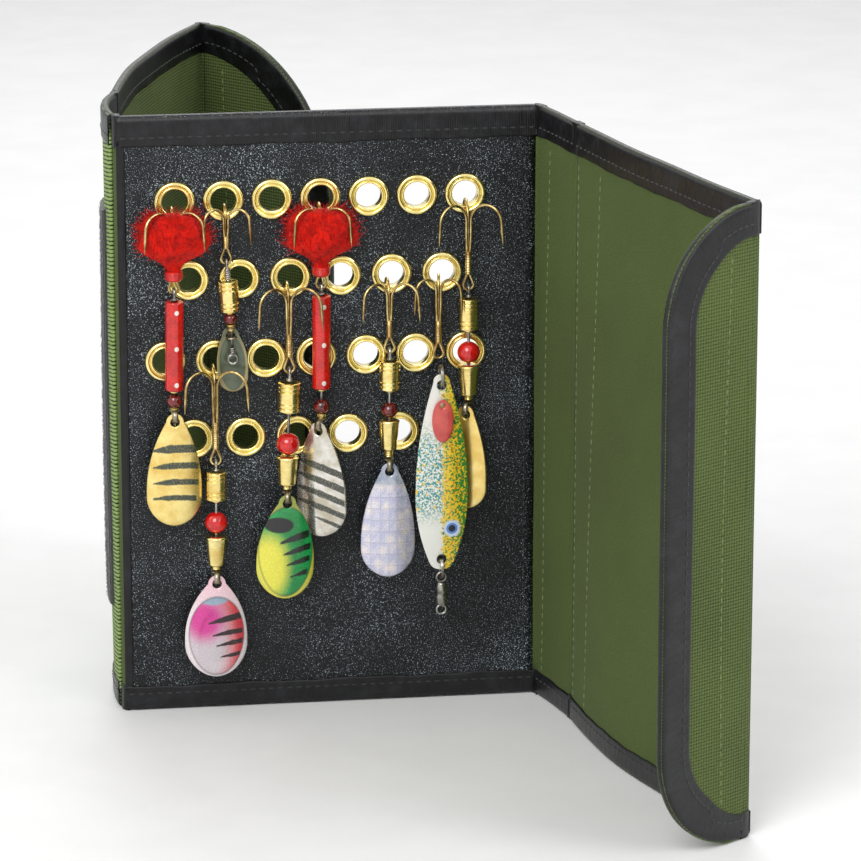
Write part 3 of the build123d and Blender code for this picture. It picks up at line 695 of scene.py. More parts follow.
def feather_finish(name, light, dark):
    """Soft feather fluff: strand and clump noise paint darker red as shade for the hollows among the fibres
    and lighter red as light on their tips.
    """
    f = Finish(name, light, 0.85, sheen=0.08)
    f.put(f.shader, "Specular IOR Level", 0.15)
    f.put(f.shader, "Sheen Roughness", 0.4)
    strand = f.noise(1.0, 4.0, f.stretched(f.place.outputs["Object"], (1500, 1500, 420)), 0.7)
    clump = f.noise(420.0, 3.0)
    tone = f.sum("MULTIPLY_ADD", clump, 0.6, f.sum("MULTIPLY", strand, 0.6))
    # painted shade and light: darker red where the noise is low, lighter red where it is high
    f.put(f.shader, "Base Color", f.mix(f.span(tone, 0.35, 0.7), dark, light))
    f.put(f.shader, "Roughness", f.span(strand, 0.3, 0.7, 0.92, 0.7))
    f.bump(strand, 0.0009, 0.9)
    return f.material


def thread_finish(name, color, dark):
    """Twisted sewing thread: slanting strands along the stitch, painted light on their crowns and dark in the
    grooves between them as shade.
    """
    f = Finish(name, color, 0.7, sheen=0.2)
    u, _, _ = f.split(f.place.outputs["UV"])
    strand = f.sum("ABSOLUTE", f.sum("SINE", f.sum("MULTIPLY", u, 7.0)))
    tone = f.sum("MULTIPLY_ADD", f.noise(300.0), 0.4, f.sum("MULTIPLY", strand, 0.6))
    # painted shade in the grooves between strands, lighter on their crowns, with fine noise
    f.put(f.shader, "Base Color", f.mix(f.span(tone, 0.1, 0.9), dark, color))
    f.bump(strand, 0.00008, 0.6)
    return f.material


def blade_finish(name, base, shade, metallic, roughness, patches=(), bars=(), bar_color=(0.006, 0.006, 0.007),
                 squares=False, speckle=None, eye=None, border=None):
    """Painted or polished blade. Patterns are placed by u across and v up the blade, both from 0 to 1: soft
    oval patches of colour, bars (height, half width, from u, to u, tilt) that taper to their left end, a
    foil of squares, speckles, or a border (oval, foot colour, head colour) outside which the plain rim
    shows."""
    f = Finish(name, base, roughness, metallic=metallic, coat=0.5, coat_roughness=0.06)
    u, v, _ = f.split(f.place.outputs["UV"])
    cloud = f.noise(180.0, 3.0)
    fine = f.noise(2200.0, 4.0, rough=0.7)
    color = f.mix(f.span(cloud, 0.3, 0.75), shade, base)
    metal = metallic
    if squares:
        tiles = f.stretched(f.place.outputs["UV"], (6.0, 10.0, 1.0))
        su, sv, _ = f.split(tiles)
        slant = f.sum("GREATER_THAN", f.sum("FRACT", su), f.sum("FRACT", sv))
        level = f.cells(1.0, f.stretched(tiles, (1.0, 1.0, 0.0)), output="Distance")
        tint = f.mix(f.span(level, 0.1, 0.7), paint(236, 226, 222), paint(196, 196, 222))
        tint = f.mix(f.sum("MULTIPLY", slant, 0.3), tint, paint(246, 244, 250))
        grid_u = f.sum("ABSOLUTE", f.sum("SINE", f.sum("MULTIPLY", su, math.pi)))
        grid_v = f.sum("ABSOLUTE", f.sum("SINE", f.sum("MULTIPLY", sv, math.pi)))
        lines = f.sum("MINIMUM", grid_u, grid_v)
        foil = f.mix(f.span(lines, 0.02, 0.16, 0.5, 0.0), tint, paint(150, 150, 168))
        color = f.mix(f.span(v, 0.8, 0.82, 1.0, 0.0), color, foil)
        f.bump(lines, 0.0001, 0.4)
    if speckle:
        edge = f.sum("MULTIPLY_ADD", f.sum("SUBTRACT", f.noise(1300.0, 3.0), 0.5), 0.35, u)
        side = f.span(edge, 0.48, 0.54)
        dots = f.noise(1500.0, 3.0, rough=0.6)
        middle = f.sum("MULTIPLY", f.span(v, 0.2, 0.36), f.span(v, 0.62, 0.8, 1.0, 0.0))
        left = f.mix(f.sum("MULTIPLY", f.span(dots, 0.47, 0.53), middle), speckle[0], speckle[1])
        left = f.mix(f.sum("MULTIPLY", f.span(f.noise(900.0, 3.0), 0.6, 0.64), middle), left, speckle[2])
        green = f.sum("MULTIPLY_ADD", f.span(u, 0.6, 1.0), 0.12, f.noise(1250.0, 3.0, rough=0.6))
        right = f.mix(f.span(green, 0.53, 0.57), speckle[2], speckle[4])
        right = f.mix(f.span(f.noise(1450.0, 3.0), 0.6, 0.64), right, speckle[3])
        color = f.mix(side, left, right)
    for pu, pv, ru, rv, tint, soft in patches:
        color = f.mix(f.span(f.oval(u, v, pu, pv, ru, rv), 1.0 - soft, 1.0 + soft, 1.0, 0.0), color, tint)
    for at, half, start, end, tilt in bars:
        middle = f.sum("MULTIPLY_ADD", f.sum("SUBTRACT", u, 0.5), tilt, at)
        arch = f.sum("MULTIPLY", f.sum("POWER", f.sum("ABSOLUTE", f.sum("SUBTRACT", u, 0.5)), 2.0), -0.12)
        off = f.sum("ABSOLUTE", f.sum("SUBTRACT", v, f.sum("ADD", middle, arch)))
        room = f.span(u, start, start + 0.3, 0.35 * half, half)
        room = f.sum("MULTIPLY_ADD", f.sum("SUBTRACT", f.noise(500.0), 0.5), 0.02, room)
        mask = f.span(f.sum("SUBTRACT", off, room), -0.006, 0.006, 1.0, 0.0)
        ends = f.sum("MULTIPLY", f.span(u, start - 0.01, start + 0.03),
                     f.span(u, end - 0.02, end + 0.02, 1.0, 0.0))
        mask = f.sum("MULTIPLY", mask, ends)
        worn = f.mix(f.span(fine, 0.5, 0.75, 0.0, 0.35), bar_color, base)
        color = f.mix(mask, color, worn)
        if metallic:
            metal = f.sum("MULTIPLY", metal, f.sum("MULTIPLY_ADD", mask, -0.9, 1.0))
    if border:
        pu, pv, ru, rv, foot, head = border
        far = f.oval(u, v, pu, pv, ru, rv)
        rim = f.mix(f.span(v, 0.55, 0.95), foot, head)
        color = f.mix(f.span(far, 0.985, 1.015), color, rim)
        groove = f.sum("MULTIPLY", f.span(far, 0.94, 1.0), f.span(far, 1.0, 1.05, 1.0, 0.0))
        color = f.mix(f.sum("MULTIPLY", groove, 0.45), color, (0.02, 0.02, 0.02))
    if eye:
        far = f.oval(u, f.sum("MULTIPLY", v, eye[2]), eye[0], eye[1] * eye[2], 1.0, 1.0)
        halo = f.sum("MULTIPLY_ADD", f.sum("SUBTRACT", f.noise(1300.0), 0.5), 0.12, far)
        color = f.mix(f.span(halo, 0.15, 0.18, 1.0, 0.0), color, paint(206, 222, 246))
        color = f.mix(f.span(far, 0.1, 0.12, 1.0, 0.0), color, paint(90, 140, 214))
        color = f.mix(f.span(far, 0.06, 0.075, 1.0, 0.0), color, (0.004, 0.004, 0.006))
    f.put(f.shader, "Base Color", color)
    f.put(f.shader, "Metallic", metal)
    f.put(f.shader, "Roughness", f.span(fine, 0.35, 0.8, roughness, roughness + 0.16))
    f.bump(cloud, 0.00008, 0.3)
    return f.material


# Pieces of the tackle


def place_of(number):
    """Where a lure hangs across the panel, and the height of its hooks' arc centre on the eyelet's rim."""
    if number == 7:
        shift = SPOON["x"] - (EYELET_ROWS[1][1] + 5 * EYELET_ROWS[1][2])
        return SPOON["x"], arc_height(1, shift, SPOON["bend"])
    lure = SPINNERS[number]
    _, first, pitch, _ = EYELET_ROWS[lure.row]
    return first + lure.column * pitch + lure.shift, arc_height(lure.row, lure.shift, lure.bend)


def arc_height(row, shift, bend):
    """Height of a bend's centre when its wire rests on the hole's rim behind the panel."""
    rim = math.sqrt(HOLE ** 2 - (abs(shift) + WIRE_HALF) ** 2)
    return EYELET_ROWS[row][0] - rim - math.sqrt((bend - WIRE_HALF) ** 2 - HOOK_BACK ** 2) + HOOK_SIT


def leaned(parts, number):
    """Parts built round the shaft axis, leaned about the treble's eye and hung at their eyelet."""
    x, _ = place_of(number)
    lure = SPINNERS[number]
    eye, depth = lure.eye, lure.depth
    a = math.radians(lure.lean)
    hung = []
    for points, faces, uv in parts:
        px, py, pz = points.T
        rise = pz - eye
        hung.append((np.stack([x + px * math.cos(a) + rise * math.sin(a), py - depth,
                               eye - px * math.sin(a) + rise * math.cos(a)], -1), faces, uv))
    return hung


def hook_parts(bend, z_arc, z_eye, twist):
    """Treble hook: three bends of round wire on one wrapped shank, each ending in a barbed, tapered point.
    A bend is the half circle (middle - r cos t, z_arc + bend sin t), its point a straight run below it."""
    start, reach = 0.85, 2 * bend
    wrap = z_eye + 3.6 + 0.42 * (z_arc - z_eye - 3.6)
    middle, half = (start + reach) / 2, (reach - start) / 2
    t = np.linspace(0, np.pi, 30)
    down = np.linspace(0, 1, 12)[1:]
    x = np.concatenate([[0.4, 0.55, 0.8], middle - half * np.cos(t), reach + 0.5 * down])
    z = np.concatenate([[z_eye + 3.6, wrap, (wrap + z_arc) / 2], z_arc + bend * np.sin(t),
                        z_arc - HOOK_TIP * down])
    path = np.stack([x, 0 * x, z], -1)
    radius = np.full(len(path), 0.46)
    radius[-8:] = [0.48, 0.45, 0.4, 0.34, 0.27, 0.19, 0.11, 0.03]
    hook = tube(path, radius, 12)
    barb_t = np.linspace(0, 1, 5)
    barb = np.stack([reach + 0.42 - 0.9 * barb_t ** 1.4, 0 * barb_t, z_arc - 4.4 + 1.5 * barb_t], -1)
    spur = tube(barb, [0.3, 0.25, 0.18, 0.1, 0.02], 8)
    parts = []
    for angle in (90, 210, 330):
        parts += [turned_about_z(hook, angle + twist), turned_about_z(spur, angle + twist)]
    turns = 14
    z = np.linspace(wrap, z_eye + 3.4, 6 * turns + 1)
    r = 1.02 + 0.07 * np.sin(2 * np.pi * turns * np.linspace(0, 1, len(z)))
    r = np.concatenate([[1e-3], r, [1e-3]])
    parts.append(lathe(np.stack([r, np.concatenate([[wrap + 0.3], z, [z_eye + 3.1]])], -1), 20, False))
    t = 2 * np.pi * np.arange(40) / 40
    lift = np.clip(np.cos(t), 0, 1) ** 2
    drop = np.stack([RING_EYE * np.sin(t) * (1 - 0.3 * lift), 0 * t,
                     z_eye + (RING_EYE + 2.2 * lift) * np.cos(t)], -1)
    parts.append(tube(drop, 0.46, 12, closed=True))
    return parts


def coil(radius, wire, z0, z1, turns, count=24):
    """Small spring round the shaft: the helix (r cos a, r sin a, z) with z rising evenly with a."""
    a = np.linspace(0, 2 * np.pi * turns, count * turns)
    path = np.stack([radius * np.cos(a), radius * np.sin(a), z0 + (z1 - z0) * a / a[-1]], -1)
    return tube(path, wire, 8, (0.0, 0.0, 1.0))


def bead_part(radius, z):
    """Pierced ball: the circle arc r = sqrt(R^2 - z^2) between its two ends, and the bore."""
    cut = math.acos(0.5 / radius)
    t = np.linspace(-cut, cut, 20)
    r = np.concatenate([[0.47], radius * np.cos(t), [0.47]])
    h = np.concatenate([[z - radius * 0.86], z + radius * np.sin(t) * 0.95, [z + radius * 0.86]])
    return lathe(np.stack([r, h], -1), 40)


def ribbed_part(radius, low, high):
    """Turned brass body: a barrel cut with fine grooves, r = R (1 - 0.09 cos^4), plain in its middle."""
    t = np.linspace(0, 1, 121)
    groove = np.clip(np.cos(2 * np.pi * 7 * t), 0, 1) ** 4 * (np.abs(t - 0.5) > 0.11)
    r = radius * (1 - 0.09 * groove)
    r[0] = r[-1] = radius * 0.8
    r = np.concatenate([[BORE], r, [BORE]])
    z = np.concatenate([[low], low + (high - low) * t, [high]])
    return lathe(np.stack([r, z], -1), 44)


def smooth_body(radius, low, high, lip=0.5):
    """Straight tube with rounded rims."""
    t = np.linspace(0, np.pi / 2, 6)
    r = np.concatenate([[0.48], radius - lip + lip * np.sin(t), radius - lip + lip * np.cos(t), [0.48]])
    z = np.concatenate([[low], low + lip * (1 - np.cos(t)), high - lip + lip * np.sin(t), [high]])
    return lathe(np.stack([r, z], -1), 40)


def cone_part(top, end, low, high):
    """Bell cone: the radius swells from the lower end to the shoulder, with a turned bead at each rim."""
    t = np.linspace(0, 1, 26)
    r = end + (top - end) * t ** 0.8
    r += 0.12 * np.exp(-((t - 0.03) / 0.03) ** 2) + 0.16 * np.exp(-((t - 0.93) / 0.03) ** 2)
    r = r - (top * 0.3) * np.clip((t - 0.97) / 0.03, 0, 1) ** 2
    r = np.concatenate([[BORE], r, [BORE]])
    z = np.concatenate([[low], low + (high - low) * t, [high]])
    return lathe(np.stack([r, z], -1), 40)


def dots_on_tube(radius, low, high, face):
    """Round spots on a tube: discs (a, h) of angle and height wrapped on the radius, slightly raised."""
    parts = []
    ring = np.linspace(0, 1, 5)[:, None]
    cos, sin = circle(22)
    for step, turn in enumerate((face, face + 125, face + 240)):
        for height in np.linspace(low + 2.2, high - 3.2, 3) + (0, 4.5, 8.0)[step] * (step > 0):
            a = math.radians(turn) + ring * cos * 0.72 / radius
            h = min(height, high - 1.2) + ring * sin * 0.8
            lift = radius + 0.05 - 0.04 * ring ** 6 + 0 * a
            points = np.stack([lift * np.sin(a), -lift * np.cos(a), h], -1)
            parts.append(flipped(grid(points, False, True)))
    return parts


def leaf_outline(width, length, hole):
    """Outline of a spinner blade, clockwise from the top: a small round neck, swelling sides and a round
    foot. Each stretch is a circle arc through three points."""
    neck = 2.8
    top = hole + neck
    low = top - length
    side = width / 2
    belly = low + width * 0.56
    shoulder = (hole + belly) / 2 + 2
    bulge = (neck + side) / 2 + width * 0.07
    half = [arc((0, top), (neck * math.sin(0.8), hole + neck * math.cos(0.8)), (neck, hole), 12),
            arc((neck, hole), (bulge, shoulder), (side, belly), 20),
            arc((side, belly), (side * 0.72, low + (belly - low) * 0.3), (0, low), 18)]
    right = np.concatenate([half[0][:-1], half[1][:-1], half[2]])
    left = right[-2:0:-1] * np.array([-1.0, 1.0])
    return np.concatenate([right, left]), low


def arc(a, b, c, count):
    """Points of the circle through a, b and c, evenly by angle from a to c."""
    (ax, az), (bx, bz), (cx, cz) = a, b, c
    d = 2 * (ax * (bz - cz) + bx * (cz - az) + cx * (az - bz))
    ux = ((ax ** 2 + az ** 2) * (bz - cz) + (bx ** 2 + bz ** 2) * (cz - az)
          + (cx ** 2 + cz ** 2) * (az - bz)) / d
    uz = ((ax ** 2 + az ** 2) * (cx - bx) + (bx ** 2 + bz ** 2) * (ax - cx)
          + (cx ** 2 + cz ** 2) * (bx - ax)) / d
    radius = math.hypot(ax - ux, az - uz)
    t0, t1, t2 = (math.atan2(z - uz, x - ux) for x, z in (a, b, c))
    t1 = t0 + (t1 - t0 + math.pi) % (2 * math.pi) - math.pi
    t2 = t1 + (t2 - t1 + math.pi) % (2 * math.pi) - math.pi
    t = np.linspace(t0, t2, count)
    return np.stack([ux + radius * np.cos(t), uz + radius * np.sin(t)], -1)


def blade_parts(width, length, hole, inset):
    """Dished leaf: rings of points from the hole out to the outline, over the rim and back underneath.
    Depth = R - sqrt(R^2 - x^2) from the cup, plus a gentle curl to the foot."""
    edge, low = leaf_outline(width, length, hole)
    centre = np.array([0.0, hole])
    angle = np.unwrap(np.arctan2(edge[:, 1] - hole, edge[:, 0]))
    inner = centre + 1.5 * np.stack([np.cos(angle), np.sin(angle)], -1)
    share = np.concatenate([[0, 0.02], np.linspace(0.06, 0.94, 22), [0.985, 1.0]])
    sheet = inner[None] + share[:, None, None] * (edge - inner)[None]
    x, z = sheet[..., 0], sheet[..., 1]
    front = -CLEVIS_REACH + 0.8 + 0.25
    curl = 0.7 * np.clip((hole - 4 - z) / length, 0, 1) ** 2
    depth = front + BLADE_CUP - np.sqrt(BLADE_CUP ** 2 - x ** 2) + curl
    if inset:
        oval = np.hypot(x / (width * 0.27), (z - (low + width * 0.62)) / (length * 0.27))
        depth = depth + 0.45 * np.clip((1.08 - oval) / 0.16, 0, 1)
    half = np.full(len(share), BLADE_THICK / 2)
    half[0] = half[-1] = BLADE_THICK * 0.2
    half[1] = half[-2] = BLADE_THICK * 0.42
    one = np.stack([x, depth - half[:, None], z], -1)
    two = np.stack([x, depth + half[:, None], z], -1)[::-1]
    uv = np.stack([0.5 + x / width, (z - low) / length], -1)
    return [grid(np.concatenate([one, two]), True, True, np.concatenate([uv, uv[::-1]]))]


def clevis_parts(hole):
    """Folded strap of the blade: a flat section carried round its bow, and two round ears on the shaft."""
    upper = hole + CLEVIS_REACH
    t = np.linspace(-np.pi / 2, np.pi / 2, 14)
    mid, half = (hole + upper) / 2, (upper - hole) / 2
    y = np.concatenate([[0.6], -CLEVIS_REACH + half - half * np.cos(t), [0.6]])
    y = np.maximum(y, -CLEVIS_REACH)
    z = np.concatenate([[hole], mid + half * np.sin(t), [upper]])
    path = np.stack([0 * y, y, z], -1)
    tangent = np.gradient(path, axis=0)
    tangent /= np.linalg.norm(tangent, axis=1, keepdims=True)
    normal = np.cross(tangent, [1.0, 0.0, 0.0])
    a, b = np.array([-0.9, 0.9, 0.9, -0.9]), np.array([-0.28, -0.28, 0.28, 0.28])
    points = path[:, None] + normal[:, None] * b[None, :, None]
    points[..., 0] += a[None]
    strap = grid(points, False, True)
    parts = [strap]
    for z0 in (hole, upper):
        parts.append(lathe([(0.52, z0 - 0.28), (1.6, z0 - 0.28), (1.7, z0 - 0.1), (1.7, z0 + 0.1),
                            (1.6, z0 + 0.28), (0.52, z0 + 0.28)], 26))
    return parts


def puff_radius(t, turn):
    """Outline of the feather puff: a narrow bound neck, widest past the middle, drawn in at the top."""
    rise = np.clip((t - 0.16) / 0.36, 0, 1)
    fall = np.clip((t - 0.72) / 0.28, 0, 1)
    swell = rise * rise * (3 - 2 * rise) * (1 - 0.55 * fall ** 2)
    lumps = (1 + 0.13 * np.sin(2 * turn + 4 * t) + 0.09 * np.sin(5 * turn - 7 * t)
             + 0.05 * np.sin(11 * turn + 15 * t))
    return 2.5 + 8.6 * swell * lumps


def puff_part(low, high):
    """Core of the puff: the point (r cos a, PUFF_FLAT r sin a, z) with r from the puff outline."""
    t = np.linspace(0, 1, 40)[:, None]
    a = 2 * np.pi * np.arange(64)[None] / 64
    r = puff_radius(t, a) * np.where((t == 0) | (t == 1), 0.02, 0.9)
    z = low + (high - low) * t + 0 * a
    points = np.stack([r * np.cos(a), PUFF_FLAT * r * np.sin(a), z], -1)
    return grid(points, False, True, np.stack([a * 12 / np.pi + 0 * t, t * 4 + 0 * a], -1))


def fibre_part(low, high, count, seed):
    """Fibres of the puff as narrow ribbons: each starts under the puff outline, leans outwards and up, and
    curls at its tip; its width falls to nothing as (1 - s)^0.5."""
    rng = np.random.default_rng(seed)
    t = rng.beta(1.6, 1.2, count)
    a = rng.uniform(0, 2 * np.pi, count)
    r = puff_radius(t, a) * rng.uniform(0.72, 0.95, count)
    root = np.stack([r * np.cos(a), PUFF_FLAT * r * np.sin(a), low + (high - low) * t], -1)
    out = np.stack([np.cos(a), 0.8 * np.sin(a), 0.9 * rng.uniform(-0.1, 1.0, count) + 0.5 * t], -1)
    out += rng.normal(0, 0.35, out.shape)
    out /= np.linalg.norm(out, axis=1, keepdims=True)
    curl = rng.normal(0, 0.5, out.shape)
    length = rng.uniform(1.2, 4.2, count) * np.clip((t - 0.1) / 0.3, 0.3, 1)
    s = np.linspace(0, 1, 6)
    spine = (root[:, None] + out[:, None] * (length[:, None] * s)[..., None]
             + curl[:, None] * (s ** 2 * 0.9)[None, :, None])
    side = np.cross(out, rng.normal(0, 1, out.shape))
    side /= np.linalg.norm(side, axis=1, keepdims=True)
    lift = np.cross(side, out)
    width = 0.13 * np.sqrt(1 - s * 0.97)
    corners = [side[:, None] * width[None, :, None] * c + lift[:, None] * width[None, :, None] * d
               for c, d in ((1.0, -0.3), (-1.0, -0.3), (0.0, 0.6))]
    points = np.stack([spine + corner for corner in corners], 2).reshape(-1, 3)
    one = quads(6, 3, False, True)
    faces = (one[None] + 18 * np.arange(count).reshape(-1, 1, 1)).reshape(-1, 4)
    uv = np.stack([np.full(len(points), 0.5), np.tile(np.repeat(s, 3), count)], -1)
    return points, faces, uv


# Settings shown in the sidebar


class CoverSettings(bpy.types.PropertyGroup):
    """Colours and stitch spacing of the folding cover."""

    lining_color: bpy.props.FloatVectorProperty(
        name="Lining", description="Colour of the fine lining inside the wings", default=paint(82, 100, 42),
        size=3, subtype="COLOR", min=0, max=1)
    canvas_color: bpy.props.FloatVectorProperty(
        name="Canvas", description="Colour of the coarse canvas outside", default=paint(96, 112, 56),
        size=3, subtype="COLOR", min=0, max=1)
    leather_color: bpy.props.FloatVectorProperty(
        name="Leatherette", description="Lighter tone of the pebbled panel", default=paint(22, 27, 31),
        size=3, subtype="COLOR", min=0, max=1)
    # the binding's lighter tone stands partly for rubbed wear and partly for painted highlights
    tape_color: bpy.props.FloatVectorProperty(
        name="Binding", description="Rubbed tone of the black binding tape", default=paint(38, 39, 43),
        size=3, subtype="COLOR", min=0, max=1)
    stitch_pitch: bpy.props.FloatProperty(
        name="Stitch pitch", description="Distance from one stitch to the next, in mm", default=3.0,
        min=1.5, max=8.0)


class TackleSettings(bpy.types.PropertyGroup):
    """Colours and counts of the lures."""

    brass_color: bpy.props.FloatVectorProperty(
        name="Brass", description="Colour of the eyelets and turned bodies", default=paint(252, 238, 168),
        size=3, subtype="COLOR", min=0, max=1)
    hook_color: bpy.props.FloatVectorProperty(
        name="Hooks", description="Colour of the bronzed hook wire", default=paint(234, 214, 150),
        size=3, subtype="COLOR", min=0, max=1)
    feather_color: bpy.props.FloatVectorProperty(
        name="Feathers", description="Colour of the feather dressing", default=paint(236, 32, 16),
        size=3, subtype="COLOR", min=0, max=1)
    plume_count: bpy.props.IntProperty(
        name="Plumes", description="Fibres in each feather dressing", default=1500, min=200, max=4000)


def shade(color, share):
    """The same colour, each part times share."""
    return tuple(float(c) * share for c in color)


# Operators, one for each group of pieces


class LUREWALLET_OT_panel(bpy.types.Operator):
    """Build the stiff middle panel: pebbled leatherette in front, canvas behind, tape on the edges"""

    bl_idname = "lurewallet.panel"
    bl_label = "Panel"

    def execute(self, context):
        cover = context.scene.lure_cover
        leather = leather_finish("pebbled leatherette", tuple(cover.leather_color), paint(9, 11, 13))
        # the darker canvas colour is painted shade in the gaps of the weave, and the darker end of its uneven
        # tone
        canvas = cloth_finish("coarse canvas", tuple(cover.canvas_color), paint(48, 59, 26), 1.05, 0.0004)
        # the binding colour from the settings is its lighter tone: partly rubbed wear, partly painted
        # highlights
        tape = tape_finish("binding tape", tuple(cover.tape_color), paint(13, 13, 15))
        # the darker thread colour is painted shade between the twisted strands
        thread = thread_finish("black thread", paint(44, 46, 50), paint(12, 13, 14))
        self.sheet("panel_leatherette", leather, "leather", "panel_leather", LEATHER_HALF, 0.0, 0.95, -1)
        self.sheet("panel_backing", canvas, "canvas", "panel_canvas", PANEL_HALF, 3.0, 0.75, 1)
        bands = []
        for at_top in (False, True):
            w, h = tape_loop(TAPE_TOP if at_top else TAPE_LOW, PANEL_THICK / 2 + TAPE)
            x = np.linspace(-PANEL_HALF, PANEL_HALF, 90)
            wave = 0.2 * np.sin(x * 0.16 + (1.0 if at_top else 0.0)) + 0.12 * np.sin(x * 0.43)
            width = w[None] + wave[:, None] * (w[None] > 3.0)
            z = HEIGHT - width if at_top else width
            points = np.stack([x[:, None] + 0 * w, MID_Y + h[None] + 0 * width, z], -1)
            uv = np.stack([x[:, None] + 0 * w, width + 15.0 * np.sign(h)[None]], -1)
            bands += [grid(points, False, True, uv)] + end_caps(points)
        piece("panel_edge_tape", bands, "panel", tape, ("panel_binding",), merge=0.001,
              outward=True)
        seams = []
        for y, facing in ((-TAPE, -1.0), (PANEL_THICK + TAPE, 1.0)):
            for z in (TAPE_LOW - SEAM_INSET, HEIGHT - TAPE_TOP + 3.0):
                x = np.arange(-PANEL_HALF + 2, PANEL_HALF - 1, cover.stitch_pitch)
                seams.append(stitch_part(np.stack([x, 0 * x + y, 0 * x + z], -1),
                                         np.tile([1.0, 0, 0], (len(x), 1)),
                                         np.tile([0, facing, 0], (len(x), 1))))
        z = np.arange(TAPE_LOW + 2, HEIGHT - TAPE_TOP - 1, cover.stitch_pitch)
        seams.append(stitch_part(np.stack([0 * z + LEATHER_HALF - 3.4, 0 * z + 0.02, z], -1),
                                 np.tile([0, 0, 1.0], (len(z), 1)), np.tile([0, -1.0, 0], (len(z), 1))))
        piece("panel_stitching", seams, "panel", thread)
        z = np.linspace(TAPE_LOW - 0.5, HEIGHT - TAPE_TOP + 0.5, 60)[:, None]
        t = 2 * np.pi * np.arange(20)[None] / 20
        flat = np.sign(np.cos(t)) * np.abs(np.cos(t)) ** 0.35
        rim = np.stack([-PANEL_HALF + 1.25 + 1.35 * flat + 0 * z, 0.1 + 0.32 * np.sin(t) + 0 * z,
                        z + 0 * t], -1)
        cord = grid(rim, False, True, np.stack([3 * t + 0 * z, z + 0 * t], -1))
        piece("panel_side_tape", [cord] + end_caps(rim), "panel", tape, outward=True)
        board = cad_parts["panel_board"]
        # the darker board colour is painted shade in the gaps of its weave, and the darker end of its uneven
        # tone
        card = cloth_finish("stiff board", paint(150, 135, 110), paint(110, 96, 76), 0.5, 0.00005)
        board.data.materials.clear()
        board.data.materials.append(card)
        return {"FINISHED"}

    def sheet(self, name, finish, slot, node, half, face, thick, facing):
        """Flat sheet pierced by the eyelets: a triangulated field of points round circles, its face raised
        by soft waves, puckered beside each eyelet and sunk along the two side seams."""
        places = [(first + i * pitch, z) for z, first, pitch, count in EYELET_ROWS for i in range(count)]
        places = np.array(places)
        xs = np.linspace(-half, half, 56)
        zs = np.linspace(TAPE, HEIGHT - TAPE, 82)
        gx, gz = np.meshgrid(xs, zs, indexing="ij")
        field = np.stack([gx.ravel(), gz.ravel()], -1)
        far = np.min(np.hypot(field[:, None, 0] - places[None, :, 0],
                              field[:, None, 1] - places[None, :, 1]), 1)
        field = field[far > HOLE + 2.0]
        cos, sin = circle(28)
        rings = [places[:, None] + np.stack([cos, sin], -1)[None] * r for r in (HOLE + 0.45, HOLE + 1.3)]
        hole_ring = rings[0].reshape(-1, 2)
        points = np.concatenate([hole_ring, rings[1].reshape(-1, 2), field])
        step = 28 * np.repeat(np.arange(len(places)), 28)
        index = np.tile(np.arange(28), len(places))
        edges = np.stack([step + index, step + (index + 1) % 28], -1)
        flat, _, faces, *_ = delaunay_2d_cdt([Vector(p) for p in points.tolist()], edges.tolist(), [], 0,
                                             1e-6)
        flat = np.array([tuple(p) for p in flat])
        faces = np.array([tuple(f) for f in faces])
        middle = flat[faces].mean(1)
        near = np.min(np.hypot(middle[:, None, 0] - places[None, :, 0],
                               middle[:, None, 1] - places[None, :, 1]), 1)
        faces = faces[near > HOLE + 0.3]
        x, z = flat.T
        near = np.min(np.hypot(x[:, None] - places[None, :, 0], z[:, None] - places[None, :, 1]), 1)
        wave = 0.05 + 0.05 * np.sin(x * 0.09 + 1.0) * np.sin(z * 0.06) + 0.04 * np.sin(x * 0.23 + z * 0.11)
        wave = wave + 0.14 * np.exp(-((near - 7.4) / 1.6) ** 2)
        if facing < 0:
            wave = wave + 0.3 * np.exp(-((x - LEATHER_HALF + 3.4) / 0.7) ** 2)
        wave = wave * np.clip((near - HOLE - 0.4) / 2.0, 0, 1)
        if facing < 0:
            wave = wave + 0.45 * np.clip((np.abs(x) - half + 1.8) / 1.8, 0, 1) ** 2
        front = np.stack([x, face - facing * wave, z], -1)
        back = np.stack([x, 0 * x + face - facing * thick, z], -1)
        count = len(flat)
        both = np.concatenate([front, back])
        outward = faces if facing < 0 else faces[:, ::-1]
        skin = np.concatenate([outward, outward[:, ::-1] + count])
        directed = np.concatenate([outward[:, [0, 1]], outward[:, [1, 2]], outward[:, [2, 0]]])
        key = directed[:, 0] * count + directed[:, 1]
        other = directed[:, 1] * count + directed[:, 0]
        border = directed[~np.isin(key, other)]
        walls = np.stack([border[:, 1], border[:, 0], border[:, 0] + count, border[:, 1] + count], -1)
        uv = np.concatenate([flat, flat])
        parts = [(both, skin, uv), (both, walls, uv)]
        piece(name, parts, "panel", finish, (node,), merge=0.0005, outward=True)


